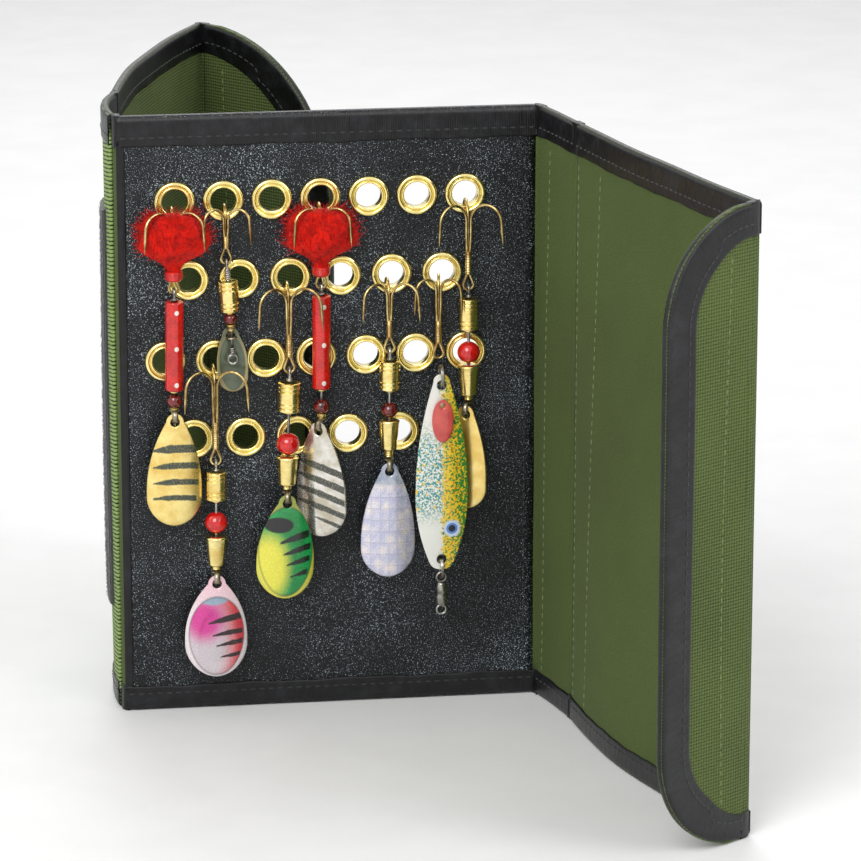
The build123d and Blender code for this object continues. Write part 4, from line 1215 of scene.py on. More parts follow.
class LUREWALLET_OT_eyelets(bpy.types.Operator):
    """Build the brass eyelets: a rolled dome and washer in front, a barrel and a clinched flange behind"""

    bl_idname = "lurewallet.eyelets"
    bl_label = "Eyelets"

    def execute(self, context):
        brass = metal_finish("eyelet brass", tuple(context.scene.lure_tackle.brass_color),
                             paint(242, 220, 138), 0.1)
        t = np.linspace(0, np.pi, 12)
        lip_r = HOLE + LIP - LIP * np.cos(t)
        lip_f = 0.62 + 0.42 * np.sin(t)
        dome_r = HOLE + 1.62 - 0.72 * np.cos(t)
        dome_f = 0.6 + 0.78 * np.sin(t)
        washer_r = np.array([6.42, 6.5, 6.5, 6.3])
        washer_f = np.array([0.5, 0.36, 0.12, 0.0])
        back_t = np.linspace(0, np.pi, 8)
        back_r = HOLE + 1.2 - 1.2 * np.cos(back_t)
        back_f = -PANEL_THICK - 0.6 * np.sin(back_t)
        r = np.concatenate([lip_r, dome_r, washer_r, [4.6, 4.6], back_r[::-1]])
        f = np.concatenate([lip_f, dome_f, washer_f, [0.0, -PANEL_THICK], back_f[::-1]])
        points, faces, uv = lathe(np.stack([r, f], -1), 40)
        points = np.stack([points[:, 0], -points[:, 2], points[:, 1]], -1)
        places = [(first + i * pitch, 0.0, z) for z, first, pitch, count in EYELET_ROWS for i in range(count)]
        piece("eyelet_rings", [copies((points, faces, uv), places)], "panel", brass, ("eyelets",),
              outward=True)
        return {"FINISHED"}


class LUREWALLET_OT_sections(bpy.types.Operator):
    """Build the folding sections: lining, canvas, edge tapes and seams of both spines, wings and flaps"""

    bl_idname = "lurewallet.sections"
    bl_label = "Folding sections"

    def execute(self, context):
        cover = context.scene.lure_cover
        # the darker lining colour is painted shade in the gaps of the weave, and the darker end of its uneven
        # tone
        lining = cloth_finish("fine lining", tuple(cover.lining_color), paint(52, 62, 27), 0.55, 0.00012)
        canvas = bpy.data.materials["coarse canvas"]
        tape = bpy.data.materials["binding tape"]
        thread = bpy.data.materials["black thread"]
        # the darker thread colour is painted shade between the twisted strands
        green = thread_finish("green thread", paint(128, 142, 84), paint(44, 54, 26))
        # the darker twill colour is painted shade between the cords
        twill = twill_finish("coarse twill", paint(146, 172, 100), paint(30, 46, 18), 1.3)
        pitch = cover.stitch_pitch
        for name in SECTIONS:
            section = Section(name)
            kind = name.split("_")[1]
            start = GAP[kind]
            spine = kind == "spine"
            inner = piece(name + "_inner_cloth", sheet_part(section, start, -HALF_SHEET, -0.05), name,
                          twill if name == "left_spine" else lining,
                          () if spine else (name + "_lining",), merge=0.001, outward=True)
            outer = piece(name + "_outer_cloth", sheet_part(section, start, 0.05, HALF_SHEET), name, canvas,
                          (name + "_web",) if spine else (name + "_canvas",), merge=0.001,
                          outward=True)
            out = HALF_SHEET + TAPE
            if kind == "flap":
                bands = flap_tape(section, start, out)
            else:
                bands = straight_tape(section, start, section.length, False, out)
                bands += straight_tape(section, start, section.length, True, out)
            piece(name + "_edge_tape", bands, name, tape, () if spine else (name + "_binding",),
                  merge=0.001, outward=True)
            seams = []
            for outside in (False, True):
                if kind == "flap":
                    s, z, in_s, in_z = flap_edge(section, start, 50, 30)
                    run = np.concatenate([[0], np.cumsum(np.hypot(np.diff(s), np.diff(z)))])
                    even = np.arange(1.0, run[-1], pitch)
                    wide = np.where(np.abs(in_s) > 0.5, FLAP_TAPE - 2.8, 6.4)
                    seams.append(seam(section, np.interp(even, run, s + in_s * wide),
                                      np.interp(even, run, z + in_z * wide), outside, TAPE))
                else:
                    s = np.arange(start + 1.2, section.length - 0.6, pitch)
                    seams.append(seam(section, s, 0 * s + TAPE_LOW - SEAM_INSET, outside, TAPE))
                    seams.append(seam(section, s, 0 * s + HEIGHT - TAPE_TOP + 3.0, outside, TAPE))
            piece(name + "_stitching", seams, name, thread)
            if name == "right_spine":
                z = np.arange(TAPE_LOW + 2, HEIGHT - TAPE_TOP - 1, pitch)
                line = seam(section, 6.5 + 4.5 * z / HEIGHT, z, False)
                piece(name + "_seams", [line], name, green)
            if kind == "wing":
                lines = []
                z = np.arange(TAPE_LOW + 2, HEIGHT - TAPE_TOP - 1, pitch)
                lines.append(seam(section, 0 * z + start + 1.6, z, False))
                lines.append(seam(section, 0 * z + 21.0 - 5.0 * (1 - z / HEIGHT), z, False))
                lines.append(seam(section, 0 * z + 7.0, z, True))
                piece(name + "_seams", lines, name, green)
            if kind == "flap":
                z = np.arange(TAPE_LOW + 6, HEIGHT - TAPE_TOP - 5, pitch)
                line = start + 9.0 + 1.2 * np.sin(z * 0.02)
                lines = [seam(section, line, z, outside) for outside in (False, True)]
                piece(name + "_seams", lines, name, green)
            cloth_area = self.flat_area(section, start)
        return {"FINISHED"}

    def flat_area(self, section, start):
        """Flat area of the cloth of a section in square metres, from its outline."""
        z = np.linspace(0.3, HEIGHT - 0.3, 800)
        width = section.end(z) - 0.3 - start
        return float(np.mean(width) * (z[-1] - z[0]) * 1e-6)


class LUREWALLET_OT_folds(bpy.types.Operator):
    """Build the cloth and tape that bend round each fold, from one section to the next"""

    bl_idname = "lurewallet.folds"
    bl_label = "Folds"

    def execute(self, context):
        lining = bpy.data.materials["fine lining"]
        canvas = bpy.data.materials["coarse canvas"]
        tape = bpy.data.materials["binding tape"]
        for names in FOLD_ORDER.values():
            for before, after in zip(names, names[1:]):
                name = after + "_fold"
                plan = self.plan(before, after)
                cloth = self.band(plan, -0.95, 0.0, TAPE_LOW - 1.0, HEIGHT - TAPE_TOP + 1.0)
                inner = piece(name + "_lining", cloth, None, lining, merge=0.001, outward=True)
                cloth = self.band(plan, 0.0, 0.95, TAPE_LOW - 1.0, HEIGHT - TAPE_TOP + 1.0)
                outer = piece(name + "_canvas", cloth, None, canvas, merge=0.001, outward=True)
                low = self.band(plan, -1.3, 1.3, 0.1, TAPE_LOW)
                high = self.band(plan, -1.3, 1.3, HEIGHT - TAPE_TOP, HEIGHT - 0.1)
                edge = piece(name + "_tape", low + high, None, tape, merge=0.001, outward=True)
                for obj in (inner, outer, edge):
                    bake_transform(obj)
        return {"FINISHED"}

    def plan(self, before, after):
        """Centre line of the fold from above: the curve (1-t)^2 A + 2 t (1-t) F + t^2 B through F."""
        section = Section(after)
        reach = GAP[after.split("_")[1]] + 0.6
        fold = section.fold
        if before == "panel":
            back = -section.side * np.array([1.0, 0.0]) * 1.2
        else:
            back = -Section(before).along * 1.2
        a, b = fold + back, fold + section.along * reach
        t = np.linspace(0, 1, 15)[:, None]
        centre = (1 - t) ** 2 * a + 2 * t * (1 - t) * fold + t ** 2 * b
        tangent = np.gradient(centre, axis=0)
        tangent /= np.linalg.norm(tangent, axis=1, keepdims=True)
        normal = np.stack([-tangent[:, 1], tangent[:, 0]], -1) * section.side
        return centre, normal

    def band(self, plan, h0, h1, z0, z1):
        """Upright band along the fold's centre line, h0 to h1 across and z0 to z1 high."""
        centre, normal = plan
        z = np.linspace(z0, z1, 40)
        h = np.concatenate([np.full(40, h0), np.full(40, h1)])
        zz = np.concatenate([z, z[::-1]])
        flat = centre[:, None] + normal[:, None] * h[None, :, None]
        points = np.concatenate([flat, np.broadcast_to(zz[None, :, None], flat.shape[:2] + (1,))], -1)
        run = np.concatenate([[0], np.cumsum(np.linalg.norm(np.diff(centre, axis=0), axis=1))])
        uv = np.stack([run[:, None] + 0 * zz, zz[None] + 0 * run[:, None]], -1)
        return [grid(points, False, True, uv)] + end_caps(points)


class LUREWALLET_OT_strips(bpy.types.Operator):
    """Build the fuzzy loop strip of the left spine and the strip of small hooks in the right flap"""

    bl_idname = "lurewallet.strips"
    bl_label = "Hook and loop strips"

    def execute(self, context):
        # the near-black pile colour is painted shade in the gaps of the weave, and the darker end of its
        # uneven tone
        fuzz = cloth_finish("loop pile", paint(52, 53, 56), paint(12, 12, 13), 0.35, 0.00025, 0.6)
        hooks = gloss_finish("hook strip plastic", paint(40, 41, 43), paint(16, 16, 17), 0.4)
        rng = np.random.default_rng(7)
        section = Section("left_spine")
        start = 3.08 + 6.0
        self.base("loop_tape", section, start, fuzz, "loop_tape", "loop_strip", 1.1, rng)
        count = 2600
        s = rng.uniform(start + 0.6, start + 19.4, count)
        z = rng.uniform(STRIP_LOW + 1.0, STRIP_HIGH - 1.0, count)
        turn = rng.uniform(0, np.pi, count)
        t = np.linspace(0, np.pi, 6)
        wide = rng.uniform(0.35, 0.8, count)
        rise = rng.uniform(0.35, 0.75, count)
        run = np.cos(t)[None] * wide[:, None]
        ss = s[:, None] + run * np.cos(turn)[:, None]
        zz = z[:, None] + run * np.sin(turn)[:, None]
        hh = -(HALF_SHEET + 1.0 + np.sin(t)[None] * rise[:, None])
        rows = []
        for ds, dh in ((-0.05, 0.0), (0.05, 0.0), (0.0, -0.06)):
            rows.append(section.point(ss + ds, hh + dh, zz))
        ring = np.stack(rows, 2)
        points = ring.reshape(-1, 3)
        one = quads(6, 3, False, True)
        faces = (one[None] + 18 * np.arange(count).reshape(-1, 1, 1)).reshape(-1, 4)
        piece("loop_pile", [(points, faces, np.zeros((len(points), 2)))], "left_spine", fuzz,
              outward=True)
        flap = Section("right_flap")
        start = flap.length - FLAP_TAPE - 0.2 - STRIP_WIDTH
        self.base("hook_tape", flap, start, hooks, "hook_tape", "hook_strip", 0.5, rng)
        s, z = np.meshgrid(np.arange(start + 1.0, start + 19.4, 1.25), np.arange(33.2, 162.0, 1.5),
                           indexing="ij")
        z = z + 0.75 * (np.arange(s.shape[0])[:, None] % 2)
        s, z = s.ravel(), z.ravel()
        cos, sin = circle(6)
        profile = np.array([[0.2, 0.45], [0.16, 1.1], [0.42, 1.35], [0.3, 1.7], [0.02, 1.78]])
        ss = s[:, None, None] + profile[None, :, :1] * cos
        zz = z[:, None, None] + profile[None, :, :1] * sin
        hh = -(HALF_SHEET + profile[None, :, 1:] + 0 * cos)
        points = flap.point(ss, hh + 0 * ss, zz).reshape(-1, 3)
        one = quads(5, 6, False, True)
        faces = (one[None] + 30 * np.arange(len(s)).reshape(-1, 1, 1)).reshape(-1, 4)
        piece("hook_studs", [(points, faces, np.zeros((len(points), 2)))], "right_flap", hooks,
              outward=True)
        return {"FINISHED"}

    def base(self, name, section, start, finish, slot, node, thick, rng):
        """Ground tape: a closed sheet on the inner face, its front a little uneven."""
        u = np.linspace(start, start + STRIP_WIDTH, 41)
        z = np.linspace(STRIP_LOW, STRIP_HIGH, 180)
        s, zz = np.meshgrid(u, z)
        uneven = rng.uniform(0, 0.25, s.shape) * thick
        edge = np.clip(np.minimum(np.minimum(s - start, start + STRIP_WIDTH - s),
                                  np.minimum(zz - STRIP_LOW, STRIP_HIGH - zz)) / 0.4, 0.3, 1)
        front = section.point(s, -(HALF_SHEET + thick * edge + uneven * (edge >= 1)), zz)
        back = section.point(s[:, ::-1], -HALF_SHEET + 0.05, zz)
        points = np.concatenate([front, back], 1)
        uv = np.concatenate([np.stack([s, zz], -1)] * 2, 1)
        parts = [grid(points, False, True, uv)]
        for row in (0, -1):
            parts.append(grid(np.stack([front[row], back[row, ::-1]])))
        piece(name, parts, section.name, finish, (node,), merge=0.001, outward=True)


class LUREWALLET_OT_trebles(bpy.types.Operator):
    """Build the treble hooks, and the red feathers of two of them"""

    bl_idname = "lurewallet.trebles"
    bl_label = "Treble hooks"

    def execute(self, context):
        tackle = context.scene.lure_tackle
        bronze = metal_finish("bronzed wire", tuple(tackle.hook_color), paint(132, 98, 50), 0.2)
        # the darker feather red is painted shade for the hollows of the fluff
        red = feather_finish("red feather", tuple(tackle.feather_color), paint(150, 8, 6))
        wrap = gloss_finish("red whipping", paint(228, 30, 20), paint(176, 12, 10), 0.35, 900.0)
        for number in (1, 2, 3, 4, 5, 6, 7, 8):
            x, z_arc = place_of(number)
            bend = SPOON["bend"] if number == 7 else SPINNERS[number].bend
            eye = SPOON["eye"] if number == 7 else SPINNERS[number].eye
            twist = SPOON["twist"] if number == 7 else 0.0
            body = "lure_%d_hook" % number if number in WITH_TIP + (7,) else "lure_%d" % number
            at = (x, HOOK_Y - bend, 0.0)
            parts = [moved(part, at) for part in hook_parts(bend, z_arc, eye, twist)]
            piece("lure_%d_hooks" % number, parts, body, bronze, ("lure_%d_treble" % number,),
                  outward=True)
            if number in (1, 5):
                low, high = eye + 2.6, z_arc + bend - 0.4
                plumes = [puff_part(low, high), fibre_part(low, high, tackle.plume_count, 30 + number)]
                kept = []
                for points, faces, uv in plumes:
                    points = points + np.array(at)
                    room = -1.75 - points[:, 1]
                    points[:, 1] = np.where(room < 0.6, -1.75 - 0.6 * np.exp(np.minimum(room - 0.6, 0) / 1.2),
                                            points[:, 1])
                    kept.append((points, faces, uv))
                piece("lure_%d_feathers" % number, kept, body, red, outward=True)
                collar = lathe([(0.9, eye + 2.2), (2.2, eye + 2.4), (2.7, eye + 3.0), (2.6, eye + 5.4),
                                (0.9, eye + 5.8)], 28)
                rings = [coil(2.66, 0.16, eye + 2.9, eye + 5.3, 8, 20)]
                piece("lure_%d_whipping" % number, [moved(p, at) for p in [collar] + rings], body, wrap,
                      outward=True)
        return {"FINISHED"}


class LUREWALLET_OT_bodies(bpy.types.Operator):
    """Build the wire shafts with their bodies, beads, bell cones and springs"""

    bl_idname = "lurewallet.bodies"
    bl_label = "Bodies and beads"

    def execute(self, context):
        brass_color = tuple(context.scene.lure_tackle.brass_color)
        brass = metal_finish("turned brass", brass_color, paint(228, 198, 116), 0.14, (900, 900, 2600))
        steel = metal_finish("bright wire", paint(205, 205, 200), paint(110, 108, 104), 0.22)
        red = gloss_finish("red tube", paint(216, 24, 14), paint(178, 10, 8), 0.22)
        white = gloss_finish("white dot", paint(240, 232, 224), paint(220, 205, 196), 0.3)
        bead_red = gloss_finish("red bead", paint(226, 24, 24), paint(190, 10, 14), 0.08, 500.0)
        bead_dark = gloss_finish("dark red glass", paint(128, 18, 16), paint(52, 6, 8), 0.05, 600.0)
        for number, lure in SPINNERS.items():
            eye, hole, bead_at, bead_radius = lure.eye, lure.hole, lure.bead_at, lure.bead_radius
            rides = "lure_%d" % number
            name = "lure_%d_" % number
            low, high, radius = lure.body
            foot = hole - 5.5
            loop_z = eye - 1.575
            loop_y = HOOK_Y - lure.bend + lure.depth
            drop = math.sqrt(max(0.0, LOOP ** 2 - loop_y ** 2))
            wire = [tube([(0, 0, foot), (0, 0, (foot + eye) / 2), (0, 0, loop_z - drop)], SHAFT, 14)]
            wire.append(tube(ring_path(LOOP, (0, loop_y, loop_z), "yz"), 0.42, 12, (1.0, 0, 0), True))
            wire.append(tube(ring_path(LOOP, (0, 0, foot - 1.6), "xz"), 0.42, 12, None, True))
            wire.append(coil(0.72, 0.3, high + 0.3, loop_z - 1.6, max(2, int((loop_z - 1.9 - high) / 0.62)),
                             18))
            wire.append(coil(0.72, 0.3, foot + 0.2, foot + 2.2, 3, 18))
            piece(name + "wire", leaned(wire, number), rides, steel, (name + "shaft",),
                  outward=True)
            if lure.ribbed:
                piece(name + "turned_body", leaned([ribbed_part(radius, low, high)], number), rides, brass,
                      (name + "body",), outward=True)
            else:
                piece(name + "tube", leaned([smooth_body(radius, low, high)], number), rides, red,
                      (name + "body",), outward=True)
                piece(name + "dots", leaned(dots_on_tube(radius, low, high, 10), number), rides, white)
            finish, slot = (bead_red, "red_bead") if number in (3, 4, 8) else (bead_dark, "dark_bead")
            piece(name + "bead", leaned([bead_part(bead_radius, bead_at)], number), rides, finish,
                  (name + "beads",), outward=True)
            fittings = []
            if lure.cone:
                cone_low, cone_high, cone_top, cone_end = lure.cone
                fittings.append(cone_part(cone_top, cone_end, cone_low, cone_high))
                fittings.append(coil(1.15, 0.3, hole + 4.2, cone_low - 0.2, 4, 18))
            else:
                fittings.append(cone_part(1.5, 0.9, bead_at - bead_radius - 1.9,
                                          bead_at - bead_radius * 0.88))
            fittings.append(lathe([(BORE, low - 0.9), (1.3, low - 0.8), (1.5, low - 0.45), (1.3, low - 0.1),
                                   (BORE, low)], 28))
            piece(name + "fittings", leaned(fittings, number), rides, brass, outward=True)
        return {"FINISHED"}


class LUREWALLET_OT_blades(bpy.types.Operator):
    """Build the spinner blades with their folded straps"""

    bl_idname = "lurewallet.blades"
    bl_label = "Blades"

    def execute(self, context):
        steel = metal_finish("strap metal", paint(190, 182, 160), paint(104, 92, 70), 0.28)
        gold, gold_dark = paint(248, 226, 146), paint(226, 190, 98)
        pink = ((0.3, 0.3, 0.42, 0.5, paint(206, 196, 202), 0.45),
                (0.3, 0.56, 0.3, 0.2, paint(214, 60, 150), 0.5),
                (0.44, 0.78, 0.26, 0.07, paint(150, 172, 190), 0.2))
        green = ((0.2, 0.3, 0.34, 0.3, paint(232, 226, 78), 0.4),
                 (0.36, 0.71, 0.26, 0.075, paint(16, 20, 18), 0.12))
        olive_bar = paint(52, 62, 48)
        finishes = {
            1: blade_finish("gold blade", gold, gold_dark, 0.9, 0.26, bar_color=olive_bar,
                            bars=((0.69, 0.036, 0.1, 0.92, 0.02), (0.54, 0.028, 0.1, 0.94, 0.02),
                                  (0.395, 0.026, 0.1, 0.94, 0.01), (0.255, 0.024, 0.1, 0.9, 0.0))),
            2: blade_finish("olive blade", paint(96, 106, 84), paint(70, 80, 62), 0.3, 0.3,
                            border=(0.5, 0.44, 0.43, 0.41, paint(150, 140, 96), paint(110, 110, 84))),
            3: blade_finish("pink blade", paint(226, 56, 60), paint(206, 36, 54), 0.15, 0.2, pink,
                            bars=((0.545, 0.032, 0.36, 0.9, 0.16), (0.41, 0.026, 0.42, 0.92, 0.12),
                                  (0.3, 0.024, 0.48, 0.92, 0.14), (0.18, 0.022, 0.55, 0.88, 0.14)),
                            border=(0.5, 0.405, 0.44, 0.385, paint(232, 222, 224), paint(238, 196, 206))),
            4: blade_finish("green blade", paint(28, 168, 84), paint(18, 132, 62), 0.15, 0.2, green,
                            bars=((0.56, 0.036, 0.38, 0.9, 0.2), (0.435, 0.03, 0.44, 0.93, 0.2),
                                  (0.32, 0.028, 0.5, 0.92, 0.2), (0.195, 0.026, 0.57, 0.88, 0.2)),
                            border=(0.5, 0.455, 0.47, 0.43, paint(226, 220, 84), paint(150, 160, 66))),
            5: blade_finish("silver blade", paint(236, 234, 230), paint(186, 178, 158), 0.9, 0.2,
                            bar_color=paint(64, 66, 54),
                            bars=((0.62, 0.03, 0.04, 0.98, -0.12), (0.5, 0.03, 0.04, 0.98, -0.12),
                                  (0.385, 0.028, 0.02, 0.98, -0.12), (0.27, 0.026, 0.02, 0.98, -0.12),
                                  (0.165, 0.016, 0.4, 0.95, -0.12))),
            6: blade_finish("foil blade", paint(214, 218, 226), paint(116, 132, 156), 0.35, 0.2,
                            squares=True),
            8: blade_finish("plain gold blade", gold, gold_dark, 0.9, 0.28),
        }
        for number, lure in SPINNERS.items():
            width, length = lure.blade
            body = "lure_%d_blade" % number
            leaf = [turned_about_z(p, lure.turn) for p in blade_parts(width, length, lure.hole, number == 3)]
            piece("lure_%d_leaf" % number, leaned(leaf, number), body, finishes[number],
                  ("lure_%d_blade" % number,), outward=True)
            strap = [turned_about_z(p, lure.turn) for p in clevis_parts(lure.hole)]
            piece("lure_%d_strap" % number, leaned(strap, number), body, steel, outward=True)
        return {"FINISHED"}


class LUREWALLET_OT_spoon(bpy.types.Operator):
    """Build the spoon lure: speckled plate, oval tag, split rings and swivel"""

    bl_idname = "lurewallet.spoon"
    bl_label = "Spoon"

    def execute(self, context):
        steel = metal_finish("ring steel", paint(206, 204, 196), paint(112, 108, 100), 0.2)
        red = gloss_finish("red tag", paint(222, 92, 84), paint(204, 70, 66), 0.4)
        speckle = (paint(238, 238, 230), paint(58, 150, 150), paint(246, 208, 44), paint(232, 130, 30),
                   paint(40, 140, 60))
        top, low, width = SPOON["top"], SPOON["low"], SPOON["width"]
        paintwork = blade_finish("speckled paint", paint(236, 232, 214), paint(206, 204, 186), 0.1, 0.16,
                                 speckle=speckle, eye=(0.69, 0.215, (top - low) / width))
        at = (SPOON["x"], SPOON["y"], 0.0)
        piece("lure_7_plate", [moved(p, at) for p in self.plate(top, low, width)], "lure_7", paintwork,
              ("lure_7_spoon",), merge=0.002, outward=True)
        upper = top - SPOON_HOLE_INSET + 3.0
        lower = low + SPOON_HOLE_INSET - 3.0
        swivel = lower - 2.7
        parts = [self.split_ring(upper), self.split_ring(lower)]
        parts.append(tube(ring_path(1.5, (0, 0, swivel - 0.4), "xz"), 0.4, 10, None, True))
        parts.append(tube(ring_path(1.5, (0, 0, swivel - 11.2), "xz"), 0.4, 10, None, True))
        t = np.linspace(0, 1, 24)
        r = 1.35 + 0.5 * np.sin(np.pi * t) ** 0.5 - 0.25 * np.exp(-((t - 0.5) / 0.09) ** 2)
        r = np.concatenate([[0.02, 0.5], r, [0.5, 0.02]])
        z = np.concatenate([[swivel - 9.7, swivel - 9.6], swivel - 9.5 + 7.4 * t,
                            [swivel - 2.0, swivel - 1.9]])
        parts.append(lathe(np.stack([r, z], -1), 28, False))
        piece("lure_7_hardware", [moved(p, at) for p in parts], "lure_7", steel,
              ("lure_7_rings",), outward=True)
        piece("lure_7_oval_tag", [moved(p, at) for p in self.tag(top)], "lure_7", red,
              ("lure_7_tag",), merge=0.002, outward=True)
        return {"FINISHED"}

    def plate(self, top, low, width):
        """Arched oval plate in two halves: each a fan of rings from its hole out to the edge and the middle
        line. Its bow forward is 4 a p (1 - p) over the height p, hollowed across by k x^2."""
        mid, half, side, tail = (top + low) / 2, (top - low) / 2, width / 2, 2.6
        belly = mid - half * 0.15
        right = [arc((0, top), (tail * 0.75, top - 0.7), (tail, top - tail), 10),
                 arc((tail, top - tail), (side * 0.83, mid + half * 0.36), (side, belly), 34)]
        foot = [arc((side, belly), (side * 0.78, mid - half * 0.68), (tail * 1.4, low + tail * 0.7), 26),
                arc((tail * 1.4, low + tail * 0.7), (tail * 0.8, low + 0.35), (0, low), 10)]
        line = np.linspace(side, -side, 31)[:, None] * np.array([1.0, 0.0]) + np.array([0.0, belly])
        mirror = np.array([-1.0, 1.0])
        upper = np.concatenate([right[0][:-1], right[1][:-1], line[:-1],
                                (right[1][::-1] * mirror)[:-1], (right[0][::-1] * mirror)[:-1]])
        lower = np.concatenate([foot[0][:-1], foot[1][:-1], (foot[1][::-1] * mirror)[:-1],
                                (foot[0][::-1] * mirror)[:-1], line[::-1][:-1]])
        parts = []
        for edge, hole in ((upper, top - SPOON_HOLE_INSET), (lower, low + SPOON_HOLE_INSET)):
            angle = np.unwrap(np.arctan2(edge[:, 1] - hole, edge[:, 0]))
            inner = np.stack([SPOON_HOLE * np.cos(angle), hole + SPOON_HOLE * np.sin(angle)], -1)
            share = np.concatenate([[0, 0.02], np.linspace(0.06, 0.96, 26), [1.0]])
            flat = inner[None] + share[:, None, None] * (edge - inner)[None]
            x, z = flat[..., 0], flat[..., 1]
            p = (z - low) / (top - low)
            bow = -1.6 * 4 * p * (1 - p) + 0.012 * x ** 2
            rim = np.full(x.shape, 0.48)
            rim[0] = 0.2
            rim[1] = 0.4
            rim[-1] = np.where(np.abs(edge[:, 1] - belly) < 0.01, 0.48, 0.34)
            one = np.stack([x, bow - rim, z], -1)
            two = np.stack([x, bow + rim, z], -1)
            uv = np.stack([0.5 + x / width, p], -1)
            parts += [grid(one, False, True, uv), flipped(grid(two, False, True, uv))]
            parts.append(grid(np.stack([two[0], one[0]]), False, True))
            border = np.abs(edge[:, 1] - belly) > 0.01
            wall = grid(np.stack([one[-1], two[-1]]), False, True, np.stack([uv[-1], uv[-1]]))
            keep = border | np.roll(border, -1)
            parts.append((wall[0], wall[1][keep], wall[2]))
        return parts

    def split_ring(self, z):
        """Split ring: two turns of flattened wire side by side, the circle (r cos a, r sin a) drifting
        across."""
        a = np.linspace(0, 4 * np.pi, 90)
        path = np.stack([(a / (4 * np.pi) - 0.5) * 0.75, RING_RADIUS * np.cos(a),
                         z + RING_RADIUS * np.sin(a)], -1)
        return tube(path, 0.36, 10, (1.0, 0.0, 0.0))

    def tag(self, top):
        """Oval tag: rings from its hole to the rim, the ellipse (a cos t, b sin t), domed and rounded at
        the rim."""
        cos, sin = circle(64)
        edge = np.stack([3.4 * cos, top - 14.5 + 7.0 * sin], -1)
        hole = top - 9.4
        angle = np.unwrap(np.arctan2(edge[:, 1] - hole, edge[:, 0]))
        inner = np.stack([0.9 * np.cos(angle), hole + 0.9 * np.sin(angle)], -1)
        share = np.concatenate([[0, 0.05], np.linspace(0.12, 0.92, 12), [0.98, 1.0]])
        flat = inner[None] + share[:, None, None] * (edge - inner)[None]
        x, z = flat[..., 0], flat[..., 1]
        half = np.full(x.shape, 0.38)
        half[0] = half[-1] = 0.12
        half[1] = half[-2] = 0.3
        dome = -2.95 - 0.25 * (1 - np.clip(np.hypot(x / 3.4, (z - top + 14.5) / 7.0), 0, 1) ** 2)
        one = np.stack([x, dome - half, z], -1)
        two = np.stack([x, dome + half, z], -1)[::-1]
        return [grid(np.concatenate([one, two]), True, True)]


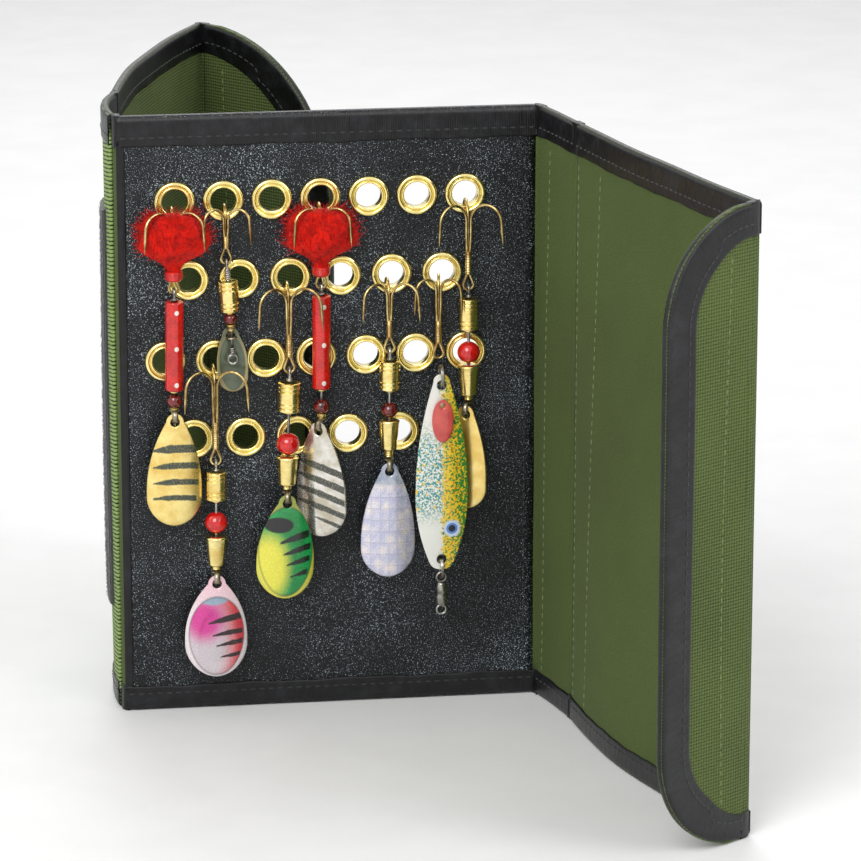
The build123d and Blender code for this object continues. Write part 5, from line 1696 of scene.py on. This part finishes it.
class LUREWALLET_OT_stage(bpy.types.Operator):
    """Set the pale floor, the white surroundings, the soft lights and the camera"""

    bl_idname = "lurewallet.stage"
    bl_label = "Stage"

    def execute(self, context):
        scene = context.scene
        floor_finish = Finish("pale floor", (0.93, 0.93, 0.93), 0.7)
        speck = floor_finish.noise(30.0, 3.0)
        tone = floor_finish.mix(floor_finish.span(speck, 0.3, 0.7), (0.92, 0.92, 0.92), (0.95, 0.95, 0.95))
        floor_finish.put(floor_finish.shader, "Base Color", tone)
        x, y = np.meshgrid(np.linspace(-6000, 6000, 9), np.linspace(-6000, 6000, 9), indexing="ij")
        mesh = bpy.data.meshes.new("floor")
        points, faces, _ = grid(np.stack([x, y, 0 * x - 0.15], -1))
        mesh.from_pydata((points * 0.001).tolist(), [], faces.tolist())
        mesh.materials.append(floor_finish.material)
        floor = bpy.data.objects.new("floor", mesh)
        scene.collection.objects.link(floor)
        self.surroundings(scene)
        self.lamp("key light", (-0.55, -0.95, 1.05), (0.0, 0.0, 0.08), 0.9, 13.0)
        self.lamp("fill light", (0.95, -0.9, 0.75), (0.02, 0.0, 0.08), 0.8, 6.0)
        self.lamp("rim light", (0.1, 0.95, 1.1), (0.0, 0.0, 0.1), 0.8, 7.0)
        data = bpy.data.cameras.new("camera")
        data.sensor_width = 36.0
        data.lens = CAMERA_LENS
        data.clip_start = 0.05
        camera = bpy.data.objects.new("camera", data)
        scene.collection.objects.link(camera)
        camera.location = CAMERA_PLACE
        aim = Vector(CAMERA_AIM) - camera.location
        camera.rotation_euler = aim.to_track_quat("-Z", "Y").to_euler()
        scene.camera = camera
        scene.view_settings.view_transform = "Standard"
        return {"FINISHED"}

    def surroundings(self, scene):
        """White where the camera, a gloss or clear matter sees it, and a plain grey light elsewhere."""
        world = bpy.data.worlds.new("surroundings")
        world.use_nodes = True
        scene.world = world
        nodes, links = world.node_tree.nodes, world.node_tree.links
        plain = nodes["Background"]
        plain.inputs["Color"].default_value = (1, 1, 1, 1)
        plain.inputs["Strength"].default_value = 0.42
        white = nodes.new("ShaderNodeBackground")
        white.inputs["Color"].default_value = (1, 1, 1, 1)
        white.inputs["Strength"].default_value = 1.0
        path = nodes.new("ShaderNodeLightPath")
        seen = nodes.new("ShaderNodeMath")
        seen.operation = "MAXIMUM"
        links.new(path.outputs["Is Camera Ray"], seen.inputs[0])
        links.new(path.outputs["Is Glossy Ray"], seen.inputs[1])
        more = nodes.new("ShaderNodeMath")
        more.operation = "MAXIMUM"
        links.new(seen.outputs[0], more.inputs[0])
        links.new(path.outputs["Is Transmission Ray"], more.inputs[1])
        mix = nodes.new("ShaderNodeMixShader")
        links.new(more.outputs[0], mix.inputs[0])
        links.new(plain.outputs[0], mix.inputs[1])
        links.new(white.outputs[0], mix.inputs[2])
        links.new(mix.outputs[0], nodes["World Output"].inputs["Surface"])

    def lamp(self, name, place, target, size, energy):
        """Round soft light at a place, turned to its target."""
        data = bpy.data.lights.new(name, "AREA")
        data.shape = "DISK"
        data.size = size
        data.energy = energy
        lamp = bpy.data.objects.new(name, data)
        bpy.context.scene.collection.objects.link(lamp)
        lamp.location = place
        lamp.rotation_euler = (Vector(target) - Vector(place)).to_track_quat("-Z", "Y").to_euler()


class LUREWALLET_PT_sidebar(bpy.types.Panel):
    """Lists the pieces of the lure wallet and their settings"""

    bl_idname = "LUREWALLET_PT_sidebar"
    bl_label = "Lure wallet"
    bl_space_type = "VIEW_3D"
    bl_region_type = "UI"
    bl_category = "Lure wallet"

    def draw(self, context):
        layout = self.layout
        for settings in (context.scene.lure_cover, context.scene.lure_tackle):
            for name in settings.bl_rna.properties.keys():
                if name not in ("rna_type", "name"):
                    layout.prop(settings, name)
        for operator in OPERATORS:
            layout.operator(operator.bl_idname)


OPERATORS = (LUREWALLET_OT_panel, LUREWALLET_OT_eyelets, LUREWALLET_OT_sections, LUREWALLET_OT_folds,
             LUREWALLET_OT_strips, LUREWALLET_OT_trebles, LUREWALLET_OT_bodies, LUREWALLET_OT_blades,
             LUREWALLET_OT_spoon, LUREWALLET_OT_stage)
CLASSES = (CoverSettings, TackleSettings) + OPERATORS + (LUREWALLET_PT_sidebar,)


def register():
    for cls in CLASSES:
        bpy.utils.register_class(cls)
    bpy.types.Scene.lure_cover = bpy.props.PointerProperty(type=CoverSettings)
    bpy.types.Scene.lure_tackle = bpy.props.PointerProperty(type=TackleSettings)


def unregister():
    del bpy.types.Scene.lure_tackle
    del bpy.types.Scene.lure_cover
    for cls in reversed(CLASSES):
        bpy.utils.unregister_class(cls)


def main():
    """Register the classes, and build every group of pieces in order."""
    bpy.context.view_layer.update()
    register()
    for operator in OPERATORS:
        getattr(bpy.ops.lurewallet, operator.bl_idname.split(".")[1])()


if __name__ == "__main__":
    main()
